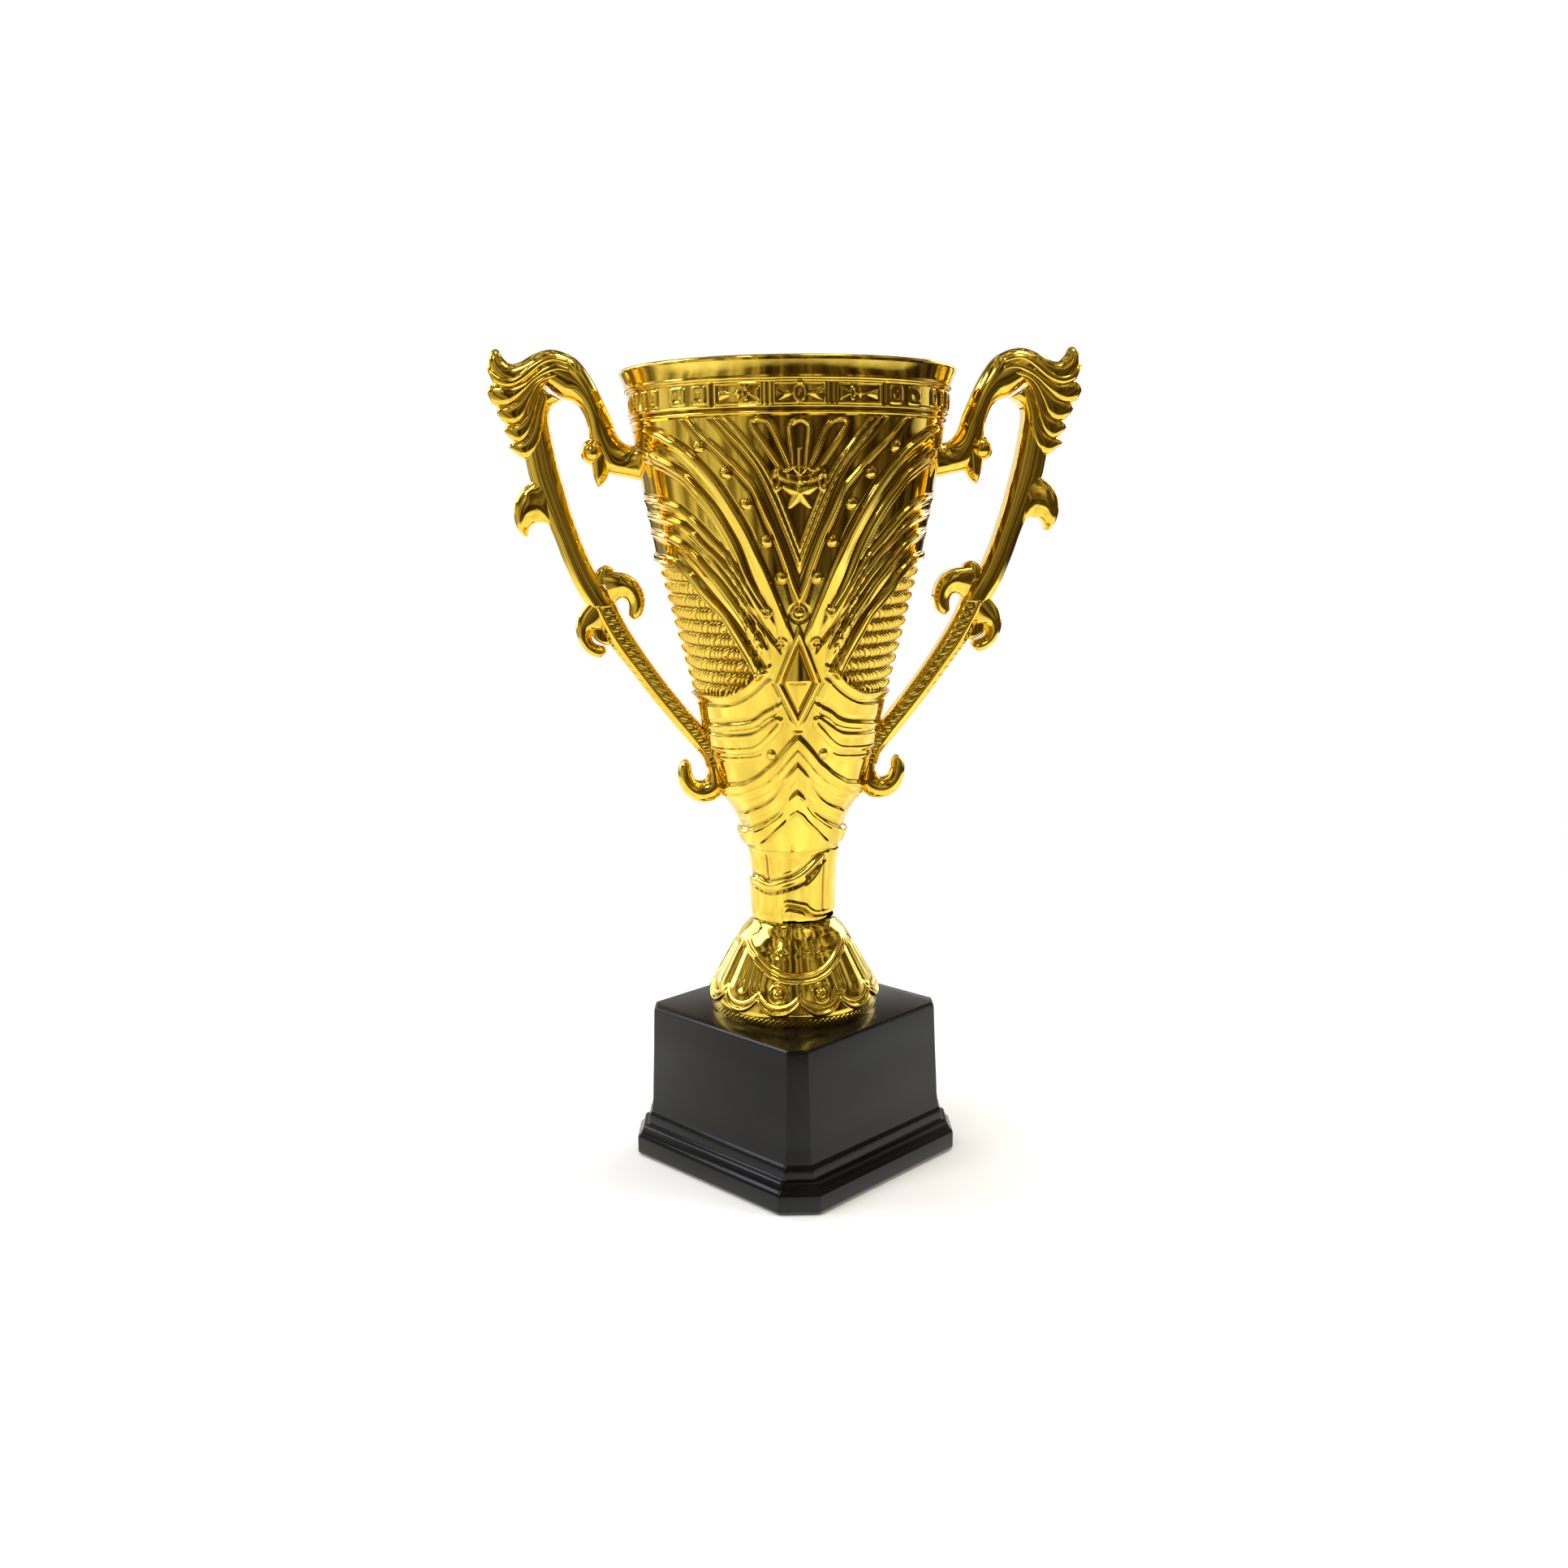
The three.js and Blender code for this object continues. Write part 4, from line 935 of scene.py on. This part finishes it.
upper_shaft = [
    (83.0, 262.5, 72.4, 257.2, 5.0), (85.0, 257.0, 76.3, 254.6, 5.2), (85.6, 250.0, 77.1, 250.4, 5.2),
    (85.4, 243.0, 76.2, 243.8, 5.2), (84.6, 237.0, 74.9, 236.9, 5.2), (83.2, 230.6, 73.4, 230.6, 5.2),
    (79.9, 222.0, 71.0, 221.5, 5.2), (76.5, 213.4, 68.3, 213.0, 5.2), (74.2, 206.8, 66.0, 207.0, 5.2),
    (71.8, 200.8, 63.3, 201.0, 5.2), (69.4, 195.6, 60.2, 196.0, 5.2), (66.0, 190.0, 56.8, 190.6, 5.0),
]
lower_shaft = [
    (66.0, 191.0, 58.4, 193.6, 4.8), (62.4, 183.6, 54.4, 185.0, 4.7), (58.5, 176.8, 49.6, 177.0, 4.6),
    (54.3, 171.2, 44.0, 168.6, 4.5), (48.4, 163.1, 37.9, 160.3, 4.5), (41.9, 154.7, 33.0, 154.2, 4.5),
    (35.0, 146.3, 28.6, 148.6, 4.5), (30.2, 140.7, 25.6, 141.5, 4.6), (28.9, 137.0, 24.6, 136.0, 4.7),
]
rail_share = 0.42
lower_rail = [
    (outer_x, outer_z, outer_x + rail_share * (inner_x - outer_x),
     outer_z + rail_share * (inner_z - outer_z), half + 0.7)
    for outer_x, outer_z, inner_x, inner_z, half in lower_shaft
]
outer_hook = [
    (79.0, 236.0, 74.4, 223.0, 4.8), (83.2, 231.4, 75.6, 216.6, 5.4), (86.5, 228.6, 79.2, 218.2, 5.8),
    (88.9, 224.6, 82.2, 218.3, 5.8), (89.2, 220.2, 84.1, 217.1, 5.4), (88.2, 216.5, 85.0, 215.4, 4.4),
    (86.3, 213.9, 85.3, 214.0, 3.0),
]
hook_web = [
    (66.4, 187, 58, 184, 2.6), (66.2, 183, 58.4, 180.6, 2.6), (64.6, 180.2, 59.6, 178.6, 2.4),
    (62.0, 178.6, 60.8, 178.0, 1.6),
]
lower_hook = [
    (65.0, 194.0, 58.0, 187.5, 4.8), (69.2, 189.2, 61.6, 183.8, 5.2), (70.6, 184.7, 64.5, 183.5, 5.5),
    (70.2, 180.8, 65.6, 181.2, 5.4), (68.6, 177.5, 65.0, 179.3, 5.0), (66.0, 175.1, 63.4, 178.4, 4.6),
    (63.3, 174.2, 61.7, 177.9, 4.2), (61.5, 175.3, 60.9, 176.6, 3.4),
]
inner_hook = [
    (62.5, 202.5, 58.6, 191.0, 4.6), (57.6, 202.2, 57.0, 192.7, 5.2), (54.0, 201.6, 55.4, 193.7, 5.5),
    (50.8, 199.6, 54.1, 193.4, 5.6), (48.6, 196.3, 53.3, 192.0, 5.4), (47.9, 192.4, 53.1, 190.2, 5.0),
    (48.8, 188.4, 53.3, 188.2, 4.4), (50.9, 186.5, 52.3, 186.8, 3.4),
]
hook_nub = [
    (64.5, 198.0, 57.0, 198.0, 4.4), (63.7, 201.8, 57.6, 202.2, 4.0), (62.4, 203.6, 58.6, 203.6, 3.4),
    (60.9, 204.3, 60.1, 204.3, 2.4),
]
bottom_scroll = [
    (24.6, 142.0, 30.6, 141.2, 4.6), (24.2, 134.5, 28.6, 136.4, 4.9), (23.2, 128.4, 28.8, 133.4, 5.2),
    (26.3, 125.2, 30.0, 132.2, 5.4), (30.4, 124.6, 31.4, 132.0, 5.4), (34.2, 126.0, 32.7, 132.7, 5.2),
    (37.2, 129.2, 33.5, 134.4, 4.9), (38.6, 133.6, 33.8, 136.4, 4.6), (38.1, 137.4, 34.2, 138.2, 4.0),
    (36.6, 139.3, 35.0, 139.2, 3.0),
]
hanging_leaf = [
    (64.0, 240.0, 57.0, 240.0, 4.6), (63.7, 236.5, 57.9, 236.0, 4.4), (63.3, 233.2, 58.9, 232.6, 3.8),
    (62.6, 230.8, 60.4, 230.5, 3.0), (62.0, 229.4, 61.6, 229.4, 2.0),
]
leaf_strands = [
    [(77.5, 260.5, 76.6, 257.0, 5.6), (79.8, 256.0, 78.0, 251.5, 5.9), (81.5, 250.8, 78.6, 246.3, 6.0),
     (83.3, 246.8, 80.1, 242.2, 6.0), (85.4, 244.7, 82.0, 239.4, 5.9), (87.8, 243.8, 84.8, 238.3, 5.6),
     (89.6, 243.0, 88.0, 240.4, 5.0), (90.0, 242.4, 89.6, 241.8, 4.2)],
    [(76.0, 263.6, 77.0, 261.8, 5.7), (79.4, 261.7, 78.9, 258.2, 6.0), (81.5, 257.5, 80.0, 253.6, 6.1),
     (83.3, 253.2, 81.7, 248.4, 6.1), (85.6, 250.6, 83.6, 244.8, 6.0), (88.4, 249.6, 86.2, 243.0, 5.7),
     (90.6, 248.6, 89.0, 244.6, 5.2), (91.3, 247.6, 90.8, 246.8, 4.3)],
    [(72.6, 265.4, 74.0, 263.4, 5.8), (76.6, 264.8, 78.2, 261.8, 6.1), (80.6, 262.8, 80.4, 259.2, 6.15),
     (83.4, 260.0, 82.5, 255.0, 6.15), (86.6, 257.2, 84.4, 250.9, 6.1), (89.8, 255.8, 87.2, 248.9, 5.8),
     (92.4, 254.8, 90.6, 249.6, 5.3), (93.4, 253.4, 92.8, 252.2, 4.4)],
    [(69.6, 267.0, 69.0, 264.0, 5.9), (74.0, 268.4, 72.7, 264.7, 6.15), (77.7, 267.2, 76.3, 264.0, 6.2),
     (80.9, 264.8, 80.3, 261.9, 6.2), (84.3, 262.4, 83.2, 259.2, 6.2), (88.2, 261.3, 86.6, 256.2, 6.1),
     (92.0, 261.8, 90.0, 254.6, 5.8), (95.0, 261.2, 94.0, 255.4, 5.2), (96.0, 259.4, 95.7, 258.2, 4.4)],
    [(69.4, 269.4, 70.0, 266.8, 5.9), (74.7, 270.3, 74.4, 268.0, 6.2), (78.4, 269.7, 77.6, 266.9, 6.25),
     (82.5, 267.6, 80.4, 264.7, 6.25), (86.0, 264.8, 83.4, 262.3, 6.25), (88.8, 263.6, 86.6, 260.6, 6.2),
     (91.8, 264.2, 89.8, 260.0, 5.9), (94.6, 266.2, 93.4, 261.6, 5.3), (95.7, 267.2, 95.5, 265.4, 4.2)],
]
knob_centre = (63.2, 240.6)
knob_radius = 4.2
knob_half_depth = 6.0
tip_place = (61.6, 5.7, 242.4)
tip_height = 1.6
tip_foot_radius, tip_top_radius = 1.5, 0.2


def handle_shape():
    """The right handle, with every bar, strand and knob in one mesh."""
    shape = bmesh.new()
    add_bar(shape, arch, round_section, 150)
    add_bar(shape, upper_shaft, bar_section, 120)
    add_bar(shape, lower_shaft, plain_section, 260, beaded=0.22)
    add_bar(shape, lower_rail, rail_section, 100)
    for run in (outer_hook, lower_hook, inner_hook, hook_nub, hook_web, hanging_leaf):
        add_bar(shape, run, hook_section, 80)
    add_bar(shape, bottom_scroll, round_section, 90)
    for run in leaf_strands:
        add_bar(shape, run, strand_section, 80)
    knob = bmesh.ops.create_uvsphere(shape, u_segments=40, v_segments=24, radius=MM)["verts"]
    for corner in knob:
        turn = Vector(corner.co) / MM
        corner.co = ((knob_centre[0] + knob_radius * turn.x) * MM, knob_half_depth * turn.y * MM,
                     (knob_centre[1] + knob_radius * turn.z) * MM)
    for side in (-1, 1):
        tip = bmesh.ops.create_cone(shape, cap_ends=True, segments=4, radius1=tip_foot_radius * MM,
                                    radius2=tip_top_radius * MM, depth=tip_height * MM)
        across, out, up = tip_place
        pointed_out = Matrix.Rotation(math.radians(-90 * side), 4, "X")
        placed = Matrix.Translation((across * MM, side * out * MM, up * MM)) @ pointed_out
        bmesh.ops.transform(shape, matrix=placed, verts=tip["verts"])
    bmesh.ops.remove_doubles(shape, verts=shape.verts, dist=2e-7)
    bmesh.ops.recalc_face_normals(shape, faces=shape.faces)
    return shape


right_shape = handle_shape()
left_shape = right_shape.copy()
bmesh.ops.rotate(left_shape, verts=left_shape.verts, matrix=Matrix.Rotation(math.pi, 3, "Z"))
finished_piece("scroll_handle_right", right_shape, gold, "gold_plating", "handle_right")
finished_piece("scroll_handle_left", left_shape, gold, "gold_plating", "handle_left")


# ---- Stem ----
# The waisted sleeve of plated plastic that the rod clamps between the bowl and the foot. A ribbon is
# moulded round it: a rolled edge that climbs to the right and a flap below, which run out at the back.

stem_profile = [
    (84.9, 13.3), (86, 13.6), (88, 13.85), (92, 14.0), (95, 14.1), (98, 14.2), (102, 14.5), (105, 14.8),
    (107.7, 15.2), (109.75, 15.88),
]
ribbon_edge = smooth_line([
    (-180, 93), (-140, 95), (-100, 97.8), (-60, 99.6), (-38, 98.6), (-20, 99.8), (-10, 100.7), (0, 101.8),
    (10, 103.4), (20, 105.5), (30, 107.8), (38, 109.4), (60, 112), (180, 116),
])
flap_edge = smooth_line([
    (-180, 88), (-60, 88), (-35, 89), (-20, 90), (-10, 91.2), (0, 90.7), (10, 90), (20, 88), (30, 87),
    (80, 86.6), (180, 88),
])


def stem_relief(theta, height, radius):
    """Height of the ribbon and its folds, in millimetres."""
    edge = clearance_from(ribbon_edge, theta, height, radius)
    flap = clearance_from(flap_edge, theta, height, radius)
    arc = math.pi / 180 * radius
    flap_shown = ease(theta, -22, -8)
    raised = 0.7 * (1 - ease(edge, -0.9, 0.6)) * (1 - flap_shown * (1 - ease(flap, -1.1, 1.1)))
    raised += 0.3 * bead(edge + 1.2, 1.5) - 0.4 * bead(edge - 1.0, 1.4) - 0.15 * bead(edge + 3.0, 1.3)
    raised += 0.15 * bead(flap - 0.8, 1.2) * between(theta, -14, 150, 8)
    fold = between(theta, 14, 33, 4) * ease(-edge, 1.5, 2.1) * (1 - ease(-edge, 2.6, 5.0))
    raised -= 0.9 * fold
    left_seam = (theta + 39.5) * arc
    raised -= 0.5 * bead(left_seam, 0.7) * ease(edge, 0.2, 1.0) * (1 - ease(height, 107.5, 108.5))
    raised += 0.3 * ease(left_seam, 0.2, 0.8) * (1 - ease(theta, 34, 38)) * ease(edge, 0.3, 1.0)
    right_seam = (theta - 40) * arc
    raised -= 0.5 * bead(right_seam, 0.7) * (1 - ease(edge, -1.5, -0.5)) * ease(flap, 0, 1)
    raised -= 0.45 * bead((theta - 38.5) * arc, 0.7) * ease(height, 104, 106)
    raised -= 0.25 * bead(flap + 0.9, 1.2) * between(theta, -12, 150, 8)
    tucked = ease(np.abs(theta), 150, 176)
    return raised * (1 - ease(height, 108.2, 109.7)) * (1 - tucked)


def turned_relief(profile, relief, columns, rows):
    """A full turn of wall from a profile of heights and radii, raised by its relief."""
    curve = smooth_line(profile, 300)

    def place(u, v):
        theta = u * 360 - 180
        height = profile[0][0] + v * (profile[-1][0] - profile[0][0])
        radius = level_on(curve, height)
        return around(theta, radius + relief(theta, height, radius), height)

    shape = bent_grid(columns, rows, place)
    bmesh.ops.remove_doubles(shape, verts=shape.verts, dist=1e-7)
    return shape


stem_shape = turned_relief(stem_profile, stem_relief, 320, 90)
finished_piece("ribboned_stem", stem_shape, gold, "gold_plating", "stem_sleeve")


# ---- Foot ----
# The bell-shaped foot, a plastic moulding plated like the bowl, with a swag over its front, fluted petals
# down its sides and a scalloped hem over a speckled rim.

foot_profile = [
    (52.75, 28.1), (54, 28.3), (57, 28.5), (59, 28.2), (61.8, 27.3), (64.7, 26.0), (67.4, 24.5),
    (70.3, 23.1), (73, 21.8), (74.6, 21.0), (76, 20.1), (77.6, 19.3), (79, 18.4), (80.5, 17.3), (82, 15.9),
    (83.3, 14.6), (84.0, 14.1), (84.8, 13.9),
]
swag_line = smooth_line([
    (0, 69.5), (10, 69.8), (20, 71), (30, 73), (40, 75.4), (50, 77.5), (60, 80), (90, 84),
])
petal_width = 30


def foot_relief(theta, height, radius):
    """Height of the petals, swag and hem, in millimetres."""
    angle = np.abs(theta)
    arc = math.pi / 180 * radius
    front = np.minimum(angle, 180 - angle)
    from_petal = np.abs(np.mod(theta, petal_width) - petal_width / 2)
    share = from_petal / (petal_width / 2)
    hem = 57.2 + 4.4 * share**2.4
    swag = clearance_from(swag_line, front, height, radius)
    under_swag = 1 - ease(swag, -2.6, -1.6)
    raised = 0.55 * ease(height - hem, -0.35, 0.35) * (1 - ease(height, 66, 76))
    raised += 0.6 * bead(height - hem - 0.6, 0.8)
    inner_hem = 59.9 + 3.9 * share**2.2
    raised += 0.3 * bead(height - inner_hem, 0.7)
    raised -= 0.3 * bead(height - inner_hem + 1.2, 0.6)
    flutes = np.cos(np.clip(share * 1.15, 0, 1) * 2 * math.pi)
    fluted = ease(front, 28, 34) * ease(height, 62, 65) * (1 - ease(height, 74, 80))
    raised -= 0.42 * (0.5 + 0.5 * flutes) * fluted * under_swag
    parting = 0.35 * bead((share - 1) * 15 * arc, 0.7) * ease(height, 61, 63) * (1 - ease(height, 74, 79))
    raised -= parting * under_swag
    stud = np.hypot((front - 15.5) * arc, height - 64.2)
    raised += 1.3 * dome(stud, 1.7) + 0.35 * bead(stud - 2.7, 0.6)
    swag_show = 1 - ease(front, 52, 62)
    raised += (0.55 * bead(swag, 0.7) + 0.4 * bead(swag + 1.9, 0.6)) * swag_show
    star = np.sqrt(np.abs((front - 15.5) * arc)) + np.sqrt(np.abs(height - 76.6))
    raised += 0.45 * (1 - ease(star, 1.5, 2.2)) * (swag > 1)
    grains = np.sin(theta * 1.9 + 1) * np.sin(height * 4.4 + theta * 0.35) + 0.5 * np.sin(theta * 3.7)
    raised += 0.22 * np.clip(grains, 0, 1) * between(height, 53.5, 55.6, 0.4)
    return raised * ease(height, 52.75, 53.2)


foot_shape = turned_relief(foot_profile, foot_relief, 520, 130)
finished_piece("petalled_foot", foot_shape, gold, "gold_plating", "foot_bell")


# ---- Plinth ----
# The square base with cut corners, injection moulded in glossy black plastic, with drafted sides and a
# moulded skirt. It was fitted a little off the diagonal, so it is turned by a little less than 45 degrees.

plinth_turn = math.radians(41.9)
plinth_levels = [
    (42.9, 0.5), (43.5, 0.6), (43.8, 1.1), (43.8, 6.3), (43.6, 6.9), (42.9, 7.6), (42.3, 8.4),
    (41.95, 9.3), (41.75, 10.0), (41.4, 10.3), (40.1, 10.5), (39.85, 10.8), (39.75, 12.3), (39.5, 13.8),
    (39.3, 14.2), (38.5, 15.1), (38.2, 15.45), (38.08, 15.9), (37.75, 25), (37.2, 38), (36.75, 51.3),
    (36.6, 52.1), (36.2, 52.55), (35.6, 52.7),
]
plinth_top_half = 36.7
leg_at_top = 4.7
leg_growth = 0.68
shell_thickness = 2.2
deck_half, deck_level = 33.6, 49.9
edge_round = 0.5
sharp_angle = math.radians(28)


def cut_square(half, level):
    """The eight corners of a square with cut corners, as points."""
    run = half - leg_at_top - leg_growth * (half - plinth_top_half)
    return [Vector((x * MM, y * MM, level * MM)) for x, y in (
        (half, -run), (half, run), (run, half), (-run, half),
        (-half, run), (-half, -run), (-run, -half), (run, -half),
    )]


def plinth_shape():
    """Rings of the cut square, one above the other, closed over the top and under the deck."""
    shape = bmesh.new()
    rings = [[shape.verts.new(corner) for corner in cut_square(*level)] for level in plinth_levels]
    foot_half, foot_level = plinth_levels[0]
    inside = [shape.verts.new(corner) for corner in cut_square(foot_half - shell_thickness, foot_level)]
    ceiling = [shape.verts.new(corner) for corner in cut_square(deck_half, deck_level)]
    loops = [ceiling, inside] + rings
    for lower, upper in zip(loops, loops[1:]):
        for k in range(8):
            shape.faces.new((lower[k], lower[(k + 1) % 8], upper[(k + 1) % 8], upper[k]))
    shape.faces.new(rings[-1])
    shape.faces.new(list(reversed(ceiling)))
    bmesh.ops.recalc_face_normals(shape, faces=shape.faces)
    upright = [
        edge for edge in shape.edges
        if abs(edge.verts[0].co.z - edge.verts[1].co.z) > 1e-5 and edge.verts[0].co.z > 0.4 * MM
    ]
    bmesh.ops.bevel(shape, geom=upright, affect="EDGES", offset=edge_round * MM, segments=3, profile=0.5,
                    material=-1)
    bmesh.ops.rotate(shape, verts=shape.verts, matrix=Matrix.Rotation(plinth_turn, 3, "Z"))
    return shape


def mottled_finish(name, cloud, tones, roughness, grain, relief, own_inputs):
    """A material whose colour and roughness follow a cloudy noise and whose bump follows a fine one.

    The cloud and grain are noises' scales and details, and the relief is the bump's strength and distance.
    """
    made = bpy.data.materials.new(name)
    made.use_nodes = True
    tree = made.node_tree
    spot = add(tree, "TexCoord").outputs["Object"]
    mottling = noise(tree, spot, *cloud)
    feed(tree.nodes["Principled BSDF"], {
        "Base Color": ramp(tree, mottling, *tones),
        "Roughness": map_range(tree, mottling, (0, 1), roughness),
        "Normal": bump(tree, noise(tree, spot, *grain), *relief),
        **own_inputs,
    })
    return made


black_tones = [(0.3, (0.0012, 0.0017, 0.0028)), (0.7, (0.004, 0.0031, 0.0026))]
black = mottled_finish("black_plastic", (28, 4), black_tones, (0.16, 0.26), (900, 3), (0.06, 0.0005),
                       {"Specular IOR Level": 0.3})
plinth = finished_piece("black_plinth", plinth_shape(), black, "black_plastic", "plinth_shell")
plinth.data.set_sharp_from_angle(angle=sharp_angle)


# ---- Hardware ----
# The zinc-plated rod, nuts, washers and screws, the iron weight and the rubber pads. They are bought parts
# that keep their own shapes and get worn finishes. The bottom cover has the plinth's black plastic.

def worn_finish(name, darker, lighter, metallic, roughness, grain_scale, grain_strength):
    """The worn, slightly stained surface of a bought part."""
    return mottled_finish(name, (160, 5), [(0.32, darker), (0.68, lighter)], roughness, (grain_scale, 4),
                          (grain_strength, 0.0003), {"Metallic": metallic})


zinc = worn_finish("zinc_steel", (0.42, 0.43, 0.45), (0.66, 0.67, 0.68), 1, (0.2, 0.42), 1400, 0.15)
iron = worn_finish("cast_iron", (0.035, 0.033, 0.032), (0.085, 0.08, 0.076), 0.7, (0.55, 0.8), 700, 0.6)
rubber = worn_finish("rubber", (0.012, 0.012, 0.013), (0.03, 0.03, 0.031), 0, (0.65, 0.85), 1100, 0.35)
for node_name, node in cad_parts.items():
    if "ballast" in node_name:
        finish = iron
    elif "pad" in node_name:
        finish = rubber
    elif "bottom_cover" in node_name:
        finish = black
    elif any(word in node_name for word in ("rod", "nut", "washer", "screw")):
        finish = zinc
    else:
        continue
    node.material_slots[0].link = "OBJECT"
    node.material_slots[0].material = finish
